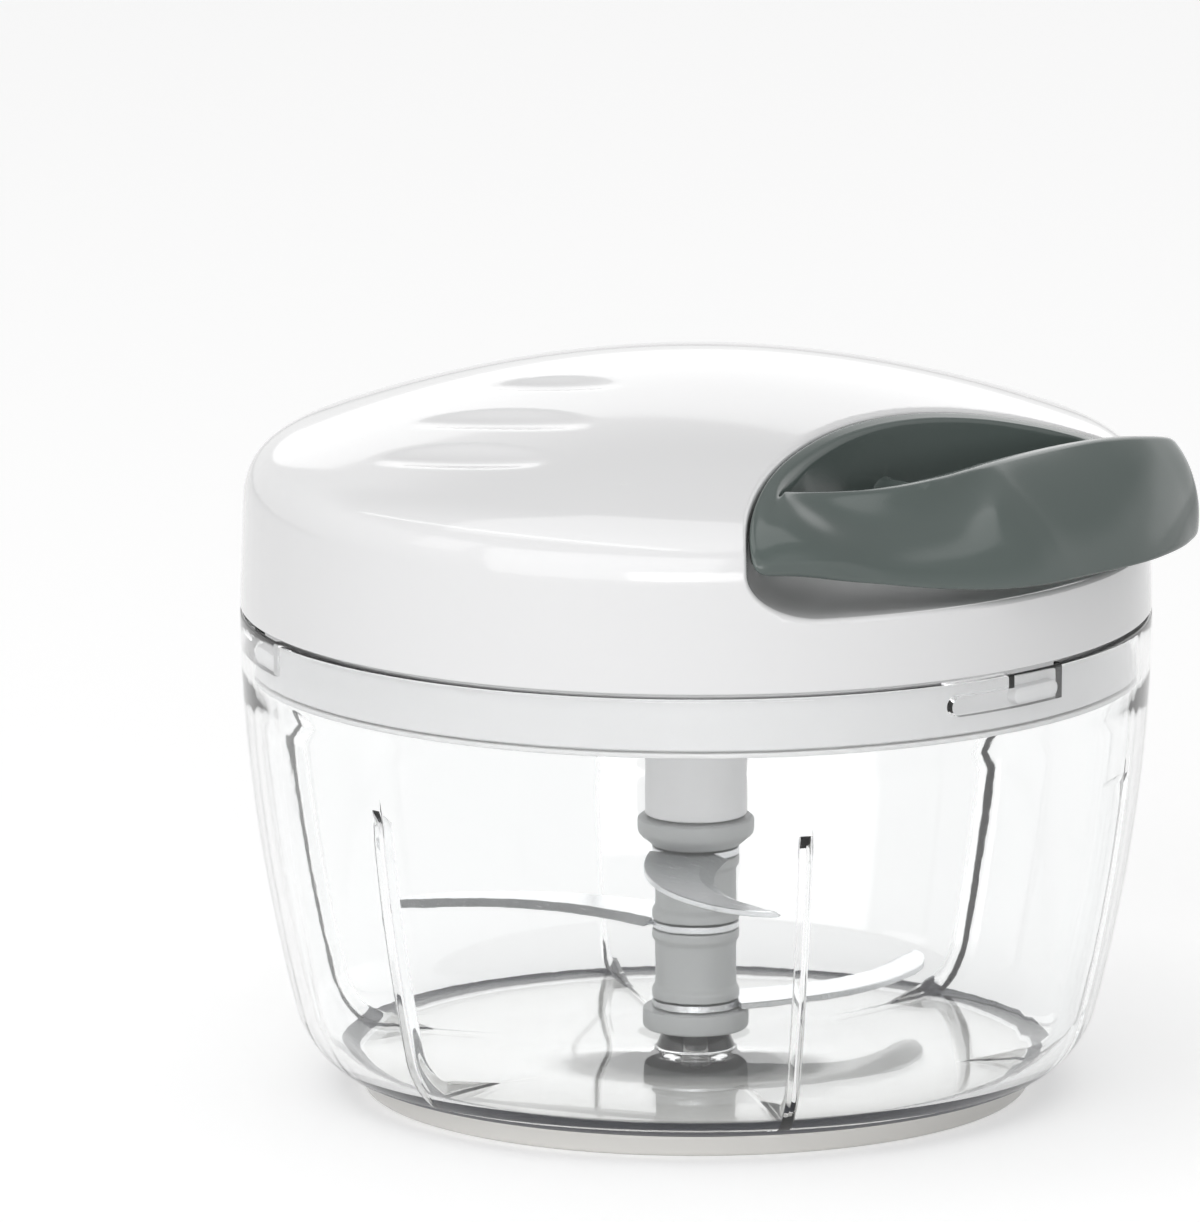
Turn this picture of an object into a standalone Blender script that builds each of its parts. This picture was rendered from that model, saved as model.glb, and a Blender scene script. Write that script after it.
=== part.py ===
"""Pull-cord food chopper: a clear ribbed bowl, a domed lid holding a cord drum with a
recoil spring, a D-shaped pull handle and a three-blade unit on a pin.

Metres, +Z up. The origin is the centre of the base's underside, and +X is the way
the handle is pulled.
"""

import math

import bmesh
import bpy
from mathutils import Matrix, Vector

MM = 0.001

# Clearances
FIT_GAP = 0.3 * MM  # between pieces that seat on each other
RUN_GAP = 0.4 * MM  # round a turning shaft

# Bowl and base
BASE_THICKNESS = 3.4 * MM
BASE_INSET = 1.3 * MM  # inside the bowl's foot
BASE_FLARE = 0.8 * MM
RIM_RADIUS = 72.9 * MM
RIM_Z = 77.9 * MM
BELLY = 11.3 * MM  # how much wider the rim is than the heel
BELLY_POWER = 1.9
HEEL_TURN = 7.1 * MM  # from the heel in to the foot
HEEL_HEIGHT = 10.0 * MM
BOWL_WALL = 2.4 * MM
PIN_BOSS_RADIUS = 5.2 * MM
PIN_BOSS_HEIGHT = 3.0 * MM
RIB_COUNT = 6
RIB_ANGLE = math.radians(26)
RIB_WIDTH = 2.2 * MM
RIB_DEPTH = 2.6 * MM
RIB_TOP_Z = 55.0 * MM

# Bayonet between the lid's skirt and the bowl's rim
LUG_COUNT = 3
LUG_LENGTH = 10.2 * MM
LUG_HEIGHT = 2.7 * MM
LUG_REACH = 1.7 * MM
LUG_DROP = 3.9 * MM  # from the bowl's rim down to the lug's middle
TWIST_ANGLE = math.radians(10)

# Lid base and seal
SKIRT_DEPTH = 9.0 * MM
SKIRT_WALL = 2.6 * MM
SKIRT_CLEARANCE = 0.5 * MM
LID_PLATE = 2.2 * MM
SEAL_THICKNESS = 0.8 * MM
SEAL_TONGUE = 2.0 * MM
SLEEVE_RADIUS = 8.2 * MM
SLEEVE_END_Z = 44.3 * MM
COLLAR_HEIGHT = 4.9 * MM

# The lid's plan is drawn for this rim radius, in millimetres, and follows the real one
PLAN_RIM_RADIUS = 72.9
PLAN = RIM_RADIUS / PLAN_RIM_RADIUS

# Top cover
JOINT_GAP = 0.7 * MM  # the dark line between the bowl's rim and the cover
COVER_WALL = 2.2 * MM
COVER_DRAFT = 0.5 * MM
COVER_TURN_DROP = 23.2 * MM  # from the top to where the upright wall starts to turn in
SHOULDER_INSET = 8.9 * MM
CROWN_ROOM = 13.9 * MM  # from the drum's top to the cover's top
CROWN_DROP = 12.4 * MM
CROWN_POWER = 1.9
GROOVE_OFFSETS = (-22.3 * PLAN, -38.9 * PLAN, -52.2 * PLAN)  # along Y
GROOVE_SHIFTS = (-10.6 * PLAN, -6.6 * PLAN, -2.7 * PLAN)  # along X
GROOVE_LENGTHS = (30 * PLAN, 46 * PLAN, 43 * PLAN)
GROOVE_WIDTH = 8.0 * PLAN
GROOVE_DEPTH = 1.1 * MM
GROOVE_TURN = math.radians(-48)

# Recess for the handle, an ellipse seen from above with a coved floor
RECESS_WALL_X = 36.7 * PLAN
RECESS_DEPTH = 35.3 * PLAN
RECESS_HALF_WIDTH = 56.5 * PLAN
RECESS_DROP = 28.2 * MM  # from the cover's top to the recess's floor
COVE_RUN = 13.0 * MM
COVE_RISE = 7.6 * MM

# Handle
HANDLE_GAP = 0.5 * MM
HANDLE_WALL = 3.0 * MM
HANDLE_RIM_DROP = 0.8 * MM  # the rim lies this far under the cover's surface
GRIP_DROP = 26.2 * MM  # from the cover's top to the grip's bottom
GRIP_EDGE = 0.9 * MM  # how far its edges are cut back
# Places on the recess's ellipse, in degrees: the wall's outer face and its inner face
BACK_TURNS = (
    (-57, -37.5),
    (-47, -35),
    (-37, -31),
    (-25, -22.5),
    (-12, -11),
    (0, 0),
    (12, 11),
    (25, 22.5),
    (38, 33),
    (48, 39),
    (57, 44),
)
# Rows along the grip, in units of the plan: the top edge's place along Y, how far it stands out of the
# cover's wall, how high it is over the grip's bottom, the same for the low edge, how full
# the face is at a third of its height and at its ridge, and how far back, sideways and up
# the inner top edge lies
GRIP = (
    (44.6, 4.6, 15.0, 44.6, 9.9, 0.5, 1.0, 1.2, 3.0, -3.0, -0.3),
    (38.4, 0.6, 16.2, 38.4, 9.6, 0.0, 1.8, 2.0, 3.0, -0.6, -0.3),
    (30.2, -5.2, 16.8, 30.2, 8.4, 0.0, 2.3, 2.6, 3.0, 0.0, -0.3),
    (20.5, -11.0, 16.5, 20.5, 6.7, 0.0, 2.6, 2.9, 3.0, 0.0, -0.3),
    (8.0, -14.9, 15.9, 8.0, 4.2, 0.0, 2.2, 2.8, 3.0, 0.0, -0.3),
    (-3.0, -15.0, 15.5, -3.0, 3.2, 0.0, 0.2, 2.5, 3.0, 0.1, -0.3),
    (-10.5, -14.2, 15.4, -10.5, 1.4, 0.1, -0.7, 1.7, 3.0, 0.3, -0.3),
    (-20.0, -14.0, 15.0, -20.0, -1.2, 1.0, -0.7, 1.2, 2.7, 0.9, -0.3),
    (-26.0, -16.5, 15.1, -27.0, -2.5, 2.2, -0.3, 1.4, 2.0, 1.4, -0.3),
    (-30.4, -18.0, 15.4, -31.5, -3.0, 3.1, 0.7, 2.2, 1.4, 1.0, -0.1),
    (-33.2, -14.8, 14.8, -35.7, -2.9, 3.8, 1.7, 2.8, 2.8, 2.1, 1.0),
    (-37.5, -9.3, 12.7, -40.5, -2.6, 4.7, 2.4, 3.0, 5.7, 6.0, 3.0),
)
FACE_SHARE = 0.3  # from the top edge down, the face's upper row of points
RIDGE_SHARE = 0.58  # and its ridge
KNOT_BOSS_RADIUS = 5.6 * MM
KNOT_BOSS_WALL = 1.4 * MM
KNOT_RADIUS = 1.9 * MM
KNOT_CAP = 1.2 * MM

# Screws that hold the lid base to the cover
SCREW_COUNT = 5
SCREW_CIRCLE = 52.0 * PLAN
SCREW_RADIUS = 1.4 * MM
SCREW_REACH = 7.0 * MM
SCREW_HEAD_RADIUS = 3.0 * MM
SCREW_HEAD = 1.7 * MM
POST_RADIUS = 3.9 * MM

# Drive: shaft, drum, spring and cord
SHAFT_WALL = 2.6 * MM
SHAFT_FLANGE = 1.6 * MM
WASHER_THICKNESS = 1.4 * MM
SPIGOT_RADIUS = 4.4 * MM
SPIGOT_HEIGHT = 2.3 * MM
DRUM_RADIUS = 18.8 * MM
DRUM_FLANGE_RADIUS = 26.0 * MM
DRUM_FLANGE = 1.4 * MM
DRUM_GROOVE = 11.6 * MM
DRUM_FLOOR = 2.4 * MM
DRUM_SHELL = 2.2 * MM
ARBOR_RADIUS = 5.2 * MM
ARBOR_BOSS_WALL = 2.8 * MM
ARBOR_BOSS_DROP = 10.2 * MM  # from the cover's top to the boss's lower end
ARBOR_FLANGE = 1.6 * MM
SPRING_STRIP = 0.5 * MM
SPRING_HEIGHT = 7.6 * MM
SPRING_TURNS = 5
SPRING_COVER = 1.3 * MM
CORD_DIAMETER = 1.8 * MM
CORD_PITCH = 2.3 * MM
CORD_TURNS = 3.5
GUIDE_FLANGE = 1.2 * MM
GUIDE_LIP = 1.6 * MM

# Blade unit
PIN_RADIUS = 2.0 * MM
PIN_LENGTH = 25.0 * MM
FOOT_FLANGE_RADIUS = 8.5 * MM
FOOT_FLANGE = 3.4 * MM
STEM_RADIUS = 3.9 * MM
COLUMN_RADIUS = 7.0 * MM
BLADE_THICKNESS = 1.0 * MM
BLADE_REACH = 50.0 * MM
BLADE_ROOT_WIDTH = 13.0 * MM
BLADE_SWEEP = math.radians(26)
BLADE_BEVEL = 2.4 * MM
BLADE_SPACINGS = (11.3 * MM, 10.4 * MM)
HUB_HEAD_RADIUS = 9.4 * MM
CLUTCH_DEPTH = 6.0 * MM
CLUTCH_TEETH = 3
FINGER_HALF_ANGLE = math.radians(16)
LUG_HALF_ANGLE = math.radians(13)

ROUND = 56  # facets round the bowl and the cover
RING_ROUND = 40  # round the base
RECESS_ROUND = 54
SMALL_ROUND = 28

FOOT_Z = BASE_THICKNESS + FIT_GAP
FOOT_RADIUS = RIM_RADIUS - BELLY - HEEL_TURN
BASE_RADIUS = FOOT_RADIUS - BASE_INSET
BORE_RADIUS = RIM_RADIUS - BOWL_WALL
SKIRT_RADIUS = BORE_RADIUS - SKIRT_CLEARANCE
PLATE_Z = RIM_Z + JOINT_GAP + FIT_GAP
PLATE_TOP_Z = PLATE_Z + LID_PLATE
SKIRT_END_Z = PLATE_Z - SKIRT_DEPTH - JOINT_GAP
LUG_Z = RIM_Z - LUG_DROP
SHAFT_RADIUS = STEM_RADIUS + SHAFT_WALL - FIT_GAP - FIT_GAP
SHAFT_BORE = SHAFT_RADIUS + RUN_GAP
COLLAR_TOP_Z = PLATE_TOP_Z + COLLAR_HEIGHT
WASHER_Z = COLLAR_TOP_Z + FIT_GAP
FLANGE_Z = WASHER_Z + WASHER_THICKNESS + FIT_GAP
DRUM_Z = FLANGE_Z + SHAFT_FLANGE + FIT_GAP
GROOVE_Z = DRUM_Z + DRUM_FLANGE
DRUM_TOP_Z = GROOVE_Z + DRUM_GROOVE + DRUM_FLANGE
TOP_Z = DRUM_TOP_Z + CROWN_ROOM
ARBOR_BOSS_Z = TOP_Z - ARBOR_BOSS_DROP
COVER_TURN_Z = TOP_Z - COVER_TURN_DROP
RECESS_FLOOR_Z = TOP_Z - RECESS_DROP
GRIP_BOTTOM_Z = TOP_Z - GRIP_DROP
SHOULDER_RADIUS = RIM_RADIUS - SHOULDER_INSET
SHOULDER_Z = TOP_Z - CROWN_DROP
RECESS_X = RECESS_WALL_X + RECESS_DEPTH
WIND_RADIUS = DRUM_RADIUS + FIT_GAP + CORD_DIAMETER / 2
CORD_Z = GROOVE_Z + DRUM_GROOVE - CORD_DIAMETER - FIT_GAP
BOWL_FLOOR_Z = FOOT_Z + BOWL_WALL
BOSS_TOP_Z = BOWL_FLOOR_Z + PIN_BOSS_HEIGHT
# Along the cord from the recess wall: the floor of the knot's pocket, and the boss's end
KNOT_POCKET = HANDLE_GAP + HANDLE_WALL * 0.6
KNOT_BOSS_END = KNOT_POCKET + FIT_GAP + KNOT_RADIUS * 2 + FIT_GAP + KNOT_CAP


def clear_scene():
    for obj in list(bpy.data.objects):
        bpy.data.objects.remove(obj, do_unlink=True)


def material(name, color, roughness, metallic=0.0, alpha=1.0):
    made = bpy.data.materials.new(name)
    made.use_nodes = True
    shader = made.node_tree.nodes["Principled BSDF"]
    shader.inputs["Base Color"].default_value = (*color, 1.0)
    shader.inputs["Roughness"].default_value = roughness
    shader.inputs["Metallic"].default_value = metallic
    shader.inputs["Alpha"].default_value = alpha
    return made


def finish(name, bm, look, body=None, sharp=35):
    """Turns a bmesh into a named object with its material, shaded smooth."""
    bmesh.ops.remove_doubles(bm, verts=bm.verts, dist=1e-6)
    bmesh.ops.recalc_face_normals(bm, faces=bm.faces)
    mesh = bpy.data.meshes.new(name)
    bm.to_mesh(mesh)
    bm.free()
    mesh.shade_smooth()
    mesh.set_sharp_from_angle(angle=math.radians(sharp))
    if look:
        mesh.materials.append(look)
    obj = bpy.data.objects.new(name, mesh)
    bpy.context.scene.collection.objects.link(obj)
    obj.parent = body
    return obj


def body_frame(name, parent=None):
    """An empty on the Z axis that carries the pieces of one moving body."""
    frame = bpy.data.objects.new(name, None)
    bpy.context.scene.collection.objects.link(frame)
    frame.parent = parent
    return frame


def combine(obj, tool, operation="DIFFERENCE"):
    """Adds a Boolean with a helper object, which is left out of the model."""
    step = obj.modifiers.new(tool.name, "BOOLEAN")
    step.operation = operation
    step.object = tool
    step.solver = "EXACT"
    tool.hide_render = True
    tool.display_type = "WIRE"
    return obj


def turned_mesh(profile, steps):
    """Spins a profile of (radius, z) points round Z. Ends on the axis close by themselves."""
    bm = bmesh.new()
    points = [bm.verts.new((radius, 0, z)) for radius, z in profile]
    edges = []
    for first, second in zip(points, points[1:] + points[:1]):
        if first.co.x > 0 or second.co.x > 0:
            edges.append(bm.edges.new((first, second)))
    bmesh.ops.spin(
        bm,
        geom=points + edges,
        cent=(0, 0, 0),
        axis=(0, 0, 1),
        angle=math.tau,
        steps=steps,
        use_merge=True,
    )
    return bm


def turned(name, profile, look=None, body=None, steps=SMALL_ROUND):
    return finish(name, turned_mesh(profile, steps), look, body)


def tube_profile(inner, outer, low, high):
    return [(inner, low), (outer, low), (outer, high), (inner, high)]


def disc_profile(radius, low, high):
    return [(0, low), (radius, low), (radius, high), (0, high)]


def loft(rings, capped=True, closed=False):
    """Skins rings of equal point counts. A closed loft joins its last ring to its first."""
    bm = bmesh.new()
    rows = [[bm.verts.new(point) for point in ring] for ring in rings]
    pairs = list(zip(rows, rows[1:]))
    if closed:
        pairs.append((rows[-1], rows[0]))
    for low, high in pairs:
        for i in range(len(low)):
            j = (i + 1) % len(low)
            bm.faces.new((low[i], low[j], high[j], high[i]))
    if capped and not closed:
        bm.faces.new(rows[0])
        bm.faces.new(rows[-1])
    return bm


def prism(name, outline, low, high, look=None, body=None):
    """A plan outline of (x, y) points, raised from low to high."""
    rings = [[(x, y, z) for x, y in outline] for z in (low, high)]
    return finish(name, loft(rings), look, body)


def arc(radius, start, end, steps):
    """Plan points on an arc about the Z axis, ends included."""
    angles = [start + (end - start) * i / steps for i in range(steps + 1)]
    return [(radius * math.cos(a), radius * math.sin(a)) for a in angles]


def sector(name, inner, outer, start, end, low, high, look=None, steps=6):
    """A block bounded by two arcs about the Z axis."""
    outline = arc(outer, start, end, steps) + arc(inner, end, start, steps)
    return prism(name, outline, low, high, look)


def offset_profile(points, distance):
    """A profile moved square to itself, towards the axis side of a curve that climbs."""
    moved = []
    last = len(points) - 1
    for i, (radius, z) in enumerate(points):
        before, after = points[max(i - 1, 0)], points[min(i + 1, last)]
        along = Vector((after[0] - before[0], after[1] - before[1])).normalized()
        moved.append((radius - along.y * distance, z + along.x * distance))
    return moved


def moved(obj, angle=0.0, offset=(0, 0, 0)):
    obj.data.transform(Matrix.Translation(offset) @ Matrix.Rotation(angle, 4, "Z"))
    return obj


def bowl_radius(z):
    """The bowl's outer radius: a full belly over a round heel."""
    climb = (z - FOOT_Z) / (RIM_Z - FOOT_Z)
    belly = BELLY * max(0.0, 1 - climb) ** BELLY_POWER
    turn = max(0.0, 1 - (z - FOOT_Z) / HEEL_HEIGHT)
    heel = HEEL_TURN * (1 - math.sqrt(1 - turn**2))
    return RIM_RADIUS - belly - heel


def bowl_curve(top_z, steps):
    """Outer profile points from the foot up, closer together round the heel."""
    heights = [FOOT_Z + (top_z - FOOT_Z) * (i / steps) ** 2.2 for i in range(steps + 1)]
    return [(bowl_radius(z), z) for z in heights]


def bowl_rib(index):
    """One rib: a thin band that follows the bowl's inner wall up from the floor."""
    curve = bowl_curve(RIB_TOP_Z, 8)
    buried = offset_profile(curve, BOWL_WALL - FIT_GAP * 3)
    crest = offset_profile(curve, BOWL_WALL + RIB_DEPTH)
    crest[-1] = (crest[-1][0] + RIB_DEPTH / 2, crest[-1][1])
    outline = buried + crest[::-1]
    rings = [
        [(radius, side * RIB_WIDTH / 2, z) for radius, z in outline] for side in (-1, 1)
    ]
    rib = finish(f"rib_form_{index + 1}", loft(rings), None)
    return moved(rib, RIB_ANGLE + math.tau * index / RIB_COUNT)


def bayonet_channel(index):
    """An upright entry from the rim and a level leg, cut into the bowl's inner wall."""
    middle = math.tau * index / LUG_COUNT
    half = (LUG_LENGTH / 2 + FIT_GAP * 2) / SKIRT_RADIUS
    inner = SKIRT_RADIUS - FIT_GAP
    outer = SKIRT_RADIUS + LUG_REACH + FIT_GAP
    low = LUG_Z - LUG_HEIGHT / 2 - FIT_GAP
    high = LUG_Z + LUG_HEIGHT / 2 + FIT_GAP
    name = f"channel_{index + 1}"
    entry = sector(
        f"{name}_entry", inner, outer, middle - half, middle + half, low, RIM_Z + 1 * MM
    )
    leg = sector(
        f"{name}_leg", inner, outer, middle - half - TWIST_ANGLE, middle + half, low, high
    )
    return entry, leg


def build_bowl(look, body):
    outer = bowl_curve(RIM_Z, 11)
    lip = 0.6 * MM
    inner = [point for point in offset_profile(outer, BOWL_WALL) if point[1] < SKIRT_END_Z - 4 * MM]
    profile = [(0, FOOT_Z)] + outer[:-1]
    profile += [(RIM_RADIUS, RIM_Z - lip), (RIM_RADIUS - lip, RIM_Z), (BORE_RADIUS, RIM_Z)]
    profile += [(BORE_RADIUS, SKIRT_END_Z - 2.5 * MM)] + inner[::-1]
    profile += [
        (PIN_BOSS_RADIUS + 1 * MM, BOWL_FLOOR_Z),
        (PIN_BOSS_RADIUS, BOSS_TOP_Z),
        (PIN_RADIUS + FIT_GAP, BOSS_TOP_Z),
        (PIN_RADIUS + FIT_GAP, FOOT_Z + BOWL_WALL / 2),
        (0, FOOT_Z + BOWL_WALL / 2),
    ]
    bowl = turned("bowl", profile, look, body, ROUND)
    for index in range(RIB_COUNT):
        combine(bowl, bowl_rib(index), "UNION")
    for index in range(LUG_COUNT):
        for cutter in bayonet_channel(index):
            combine(bowl, cutter)
    return bowl


def build_base(look, body):
    """The non-slip base: a soft disc with a flat pad in the middle and ring grooves round it."""
    groove, depth = 1.6 * MM, 0.8 * MM
    profile = [(0, 0)]
    for radius in (BASE_RADIUS * 0.7, BASE_RADIUS * 0.85):
        profile += [(radius, 0), (radius, depth), (radius + groove, depth), (radius + groove, 0)]
    edge = 0.5 * MM
    profile += [(BASE_RADIUS - edge, 0), (BASE_RADIUS, edge)]
    profile += [(BASE_RADIUS + BASE_FLARE, BASE_THICKNESS - edge)]
    profile += [(BASE_RADIUS + BASE_FLARE - edge, BASE_THICKNESS), (0, BASE_THICKNESS)]
    return turned("anti_slip_base", profile, look, body, RING_ROUND)


def build_pin(look, body):
    low = FOOT_Z + BOWL_WALL / 2 + FIT_GAP
    nose = PIN_RADIUS * 0.4
    top = low + PIN_LENGTH
    profile = [(0, low), (PIN_RADIUS, low), (PIN_RADIUS, top - nose), (PIN_RADIUS - nose, top), (0, top)]
    return turned("blade_pin", profile, look, body, 20)


def blade_outline(inset):
    """Plan points of a curved blade along +X, its leading edge moved in by the inset."""
    steps = 7
    leading, trailing = [], []
    for i in range(steps + 1):
        share = i / steps
        radius = COLUMN_RADIUS * 0.8 + (BLADE_REACH - COLUMN_RADIUS * 0.8) * share
        middle = BLADE_SWEEP * share**1.6
        width = BLADE_ROOT_WIDTH / 2 * (1 - 0.45 * share) if i < steps else inset / 2
        front = Vector((radius, width - min(inset, width * 0.7)))
        back = Vector((radius, -width))
        for side, point in ((leading, front), (trailing, back)):
            point.rotate(Matrix.Rotation(middle, 2))
            side.append(tuple(point))
    return leading + trailing[::-1]


def build_blade(name, level, angle, look, body):
    """A steel blade: a ring on the stem and one curved wing, ground on its leading edge."""
    rings = []
    for z, inset in ((level, 0.0), (level + BLADE_THICKNESS, BLADE_BEVEL)):
        rings.append([(x, y, z) for x, y in blade_outline(inset)])
    blade = finish(name, loft(rings), look, body)
    ring = turned(
        f"{name}_ring", disc_profile(COLUMN_RADIUS, level, level + BLADE_THICKNESS), steps=24
    )
    hole = turned(
        f"{name}_hole",
        disc_profile(STEM_RADIUS + FIT_GAP, level - 1 * MM, level + BLADE_THICKNESS + 1 * MM),
        steps=24,
    )
    combine(blade, ring, "UNION")
    combine(blade, hole)
    for piece in (blade, ring, hole):
        moved(piece, angle)
    return blade


def build_blade_unit(steel, plastic, body):
    """The stem with its foot, then blades and spacers in turn, and the hub head with its lugs."""
    foot_z = BOSS_TOP_Z + FIT_GAP
    level = foot_z + FOOT_FLANGE + FIT_GAP
    stages = []
    for index, name in enumerate(("blade_low", "blade_mid", "blade_high")):
        angle = math.radians(60) + math.tau * index / 3
        build_blade(name, level, angle, steel, body)
        level += BLADE_THICKNESS + FIT_GAP
        if index < len(BLADE_SPACINGS):
            stages.append((level, level + BLADE_SPACINGS[index]))
            level += BLADE_SPACINGS[index] + FIT_GAP
    for index, (low, high) in enumerate(stages):
        profile = tube_profile(STEM_RADIUS + FIT_GAP, COLUMN_RADIUS, low, high)
        turned(f"blade_spacer_{index + 1}", profile, plastic, body, 24)

    head_z = level
    head_top = SLEEVE_END_Z - FIT_GAP
    stem_top = head_top - 1.2 * MM
    bore = PIN_RADIUS + FIT_GAP
    bore_top = FOOT_Z + BOWL_WALL / 2 + FIT_GAP + PIN_LENGTH + FIT_GAP
    stem = [
        (bore, foot_z),
        (FOOT_FLANGE_RADIUS - 1 * MM, foot_z),
        (FOOT_FLANGE_RADIUS, foot_z + 1 * MM),
        (FOOT_FLANGE_RADIUS, foot_z + FOOT_FLANGE),
        (STEM_RADIUS, foot_z + FOOT_FLANGE),
        (STEM_RADIUS, stem_top),
        (0, stem_top),
        (0, bore_top),
        (bore, bore_top),
    ]
    turned("blade_stem", stem, plastic, body, 24)

    lug_top = head_top + CLUTCH_DEPTH
    spigot = STEM_RADIUS - SHAFT_WALL / 2
    head = [
        (STEM_RADIUS + FIT_GAP, head_z),
        (COLUMN_RADIUS, head_z),
        (HUB_HEAD_RADIUS, head_z + 2 * MM),
        (HUB_HEAD_RADIUS, head_top - 0.5 * MM),
        (HUB_HEAD_RADIUS - 0.5 * MM, head_top),
        (spigot, head_top),
        (spigot, lug_top),
        (0, lug_top),
        (0, stem_top + FIT_GAP),
        (STEM_RADIUS + FIT_GAP, stem_top + FIT_GAP),
    ]
    hub = turned("blade_hub_head", head, plastic, body, SMALL_ROUND)
    for index in range(CLUTCH_TEETH):
        middle = math.tau * index / CLUTCH_TEETH
        lug = sector(
            f"hub_lug_{index + 1}",
            spigot * 0.5,
            SHAFT_RADIUS - FIT_GAP,
            middle - LUG_HALF_ANGLE,
            middle + LUG_HALF_ANGLE,
            head_top - 0.8 * MM,
            lug_top - 0.6 * MM,
            steps=3,
        )
        combine(hub, lug, "UNION")
    return hub


def build_lid_base(look, body):
    """Skirt, plate, sleeve and bearing collar in one moulding, with the bayonet lugs outside."""
    groove = SEAL_TONGUE + FIT_GAP
    inner = SKIRT_RADIUS - SKIRT_WALL
    slot_in, slot_out = inner + SKIRT_WALL * 0.3, inner + SKIRT_WALL * 0.6
    profile = [
        (SHAFT_BORE, SLEEVE_END_Z),
        (SLEEVE_RADIUS, SLEEVE_END_Z),
        (SLEEVE_RADIUS, PLATE_Z - 2 * MM),
        (SLEEVE_RADIUS + 2.4 * MM, PLATE_Z),
        (inner - 2 * MM, PLATE_Z),
        (inner, PLATE_Z - 2 * MM),
        (inner, SKIRT_END_Z),
        (slot_in, SKIRT_END_Z),
        (slot_in, SKIRT_END_Z + groove),
        (slot_out, SKIRT_END_Z + groove),
        (slot_out, SKIRT_END_Z),
        (SKIRT_RADIUS, SKIRT_END_Z),
        (SKIRT_RADIUS, PLATE_Z),
        (RIM_RADIUS - COVER_WALL - FIT_GAP, PLATE_Z),
        (RIM_RADIUS - COVER_WALL - FIT_GAP, PLATE_TOP_Z),
        (SHAFT_BORE + 3 * MM, PLATE_TOP_Z),
        (SHAFT_BORE + 3 * MM, COLLAR_TOP_Z),
        (SHAFT_BORE, COLLAR_TOP_Z),
    ]
    base = turned("lid_base", profile, look, body, ROUND)
    for index in range(LUG_COUNT):
        combine(base, lug_pill(index), "UNION")
    for index, place in enumerate(screw_places()):
        hole = turned(
            f"plate_hole_{index + 1}",
            disc_profile(SCREW_RADIUS + FIT_GAP, PLATE_Z - 1 * MM, PLATE_TOP_Z + 1 * MM),
            steps=12,
        )
        combine(base, moved(hole, offset=place))
    return base


def lug_pill(index):
    """A round-ended lug on the outside of the skirt."""
    radius, straight = LUG_HEIGHT / 2, LUG_LENGTH / 2 - LUG_HEIGHT / 2
    outline = []
    for end, start in ((straight, -90), (-straight, 90)):
        for step in range(7):
            turn = math.radians(start + 30 * step)
            outline.append((end + radius * math.cos(turn), radius * math.sin(turn)))
    rings = []
    for reach in (SKIRT_RADIUS - SKIRT_WALL / 2, SKIRT_RADIUS + LUG_REACH):
        ring = []
        for along, up in outline:
            angle = along / SKIRT_RADIUS
            ring.append((reach * math.cos(angle), reach * math.sin(angle), LUG_Z + up))
        rings.append(ring)
    pill = finish(f"lug_form_{index + 1}", loft(rings), None)
    return moved(pill, math.tau * index / LUG_COUNT)


def build_seal(look, body):
    """A soft lip under the skirt, with a tongue up in the skirt's groove."""
    inner = SKIRT_RADIUS - SKIRT_WALL
    tongue_in = inner + SKIRT_WALL * 0.3 + FIT_GAP / 2
    tongue_out = inner + SKIRT_WALL * 0.6 - FIT_GAP / 2
    top = SKIRT_END_Z - FIT_GAP
    low = top - SEAL_THICKNESS
    profile = [
        (inner, low),
        (BORE_RADIUS - FIT_GAP, low),
        (BORE_RADIUS - FIT_GAP, top),
        (tongue_out, top),
        (tongue_out, top + SEAL_TONGUE),
        (tongue_in, top + SEAL_TONGUE),
        (tongue_in, top),
        (inner, top),
    ]
    return turned("lid_seal", profile, look, body, ROUND)


def screw_places():
    """Where the screws stand. The place under the handle's recess has none."""
    places = []
    for index in range(SCREW_COUNT):
        angle = math.tau * (index + 1) / (SCREW_COUNT + 1)
        places.append((SCREW_CIRCLE * math.cos(angle), SCREW_CIRCLE * math.sin(angle), 0))
    return places


def cover_profile():
    """Outer points of the cover from its lower edge to the top: wall, shoulder, crown."""
    turn_radius = RIM_RADIUS - COVER_DRAFT
    slope = CROWN_DROP * CROWN_POWER / SHOULDER_RADIUS
    rise = SHOULDER_Z - COVER_TURN_Z
    run = turn_radius - SHOULDER_RADIUS
    first = Vector((turn_radius, COVER_TURN_Z))
    second = first + Vector((0, rise * 0.61))
    last = Vector((SHOULDER_RADIUS, SHOULDER_Z))
    third = last + Vector((run * 0.64, -run * 0.64 * slope))
    points = [(RIM_RADIUS, RIM_Z + JOINT_GAP)]
    for step in range(5):
        t = step / 5
        point = (
            first * (1 - t) ** 3
            + second * 3 * t * (1 - t) ** 2
            + third * 3 * t**2 * (1 - t)
            + last * t**3
        )
        points.append(tuple(point))
    for step in range(6):
        radius = SHOULDER_RADIUS * (1 - step / 6)
        points.append((radius, TOP_Z - CROWN_DROP * (radius / SHOULDER_RADIUS) ** CROWN_POWER))
    return points


def cover_height(radius):
    """How high the cover's surface is at a distance from the axis."""
    profile = cover_profile() + [(0, TOP_Z)]
    for (outer, low), (inner, high) in zip(profile, profile[1:]):
        if inner <= radius <= outer:
            return low + (high - low) * (outer - radius) / (outer - inner)
    return RIM_Z


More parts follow.
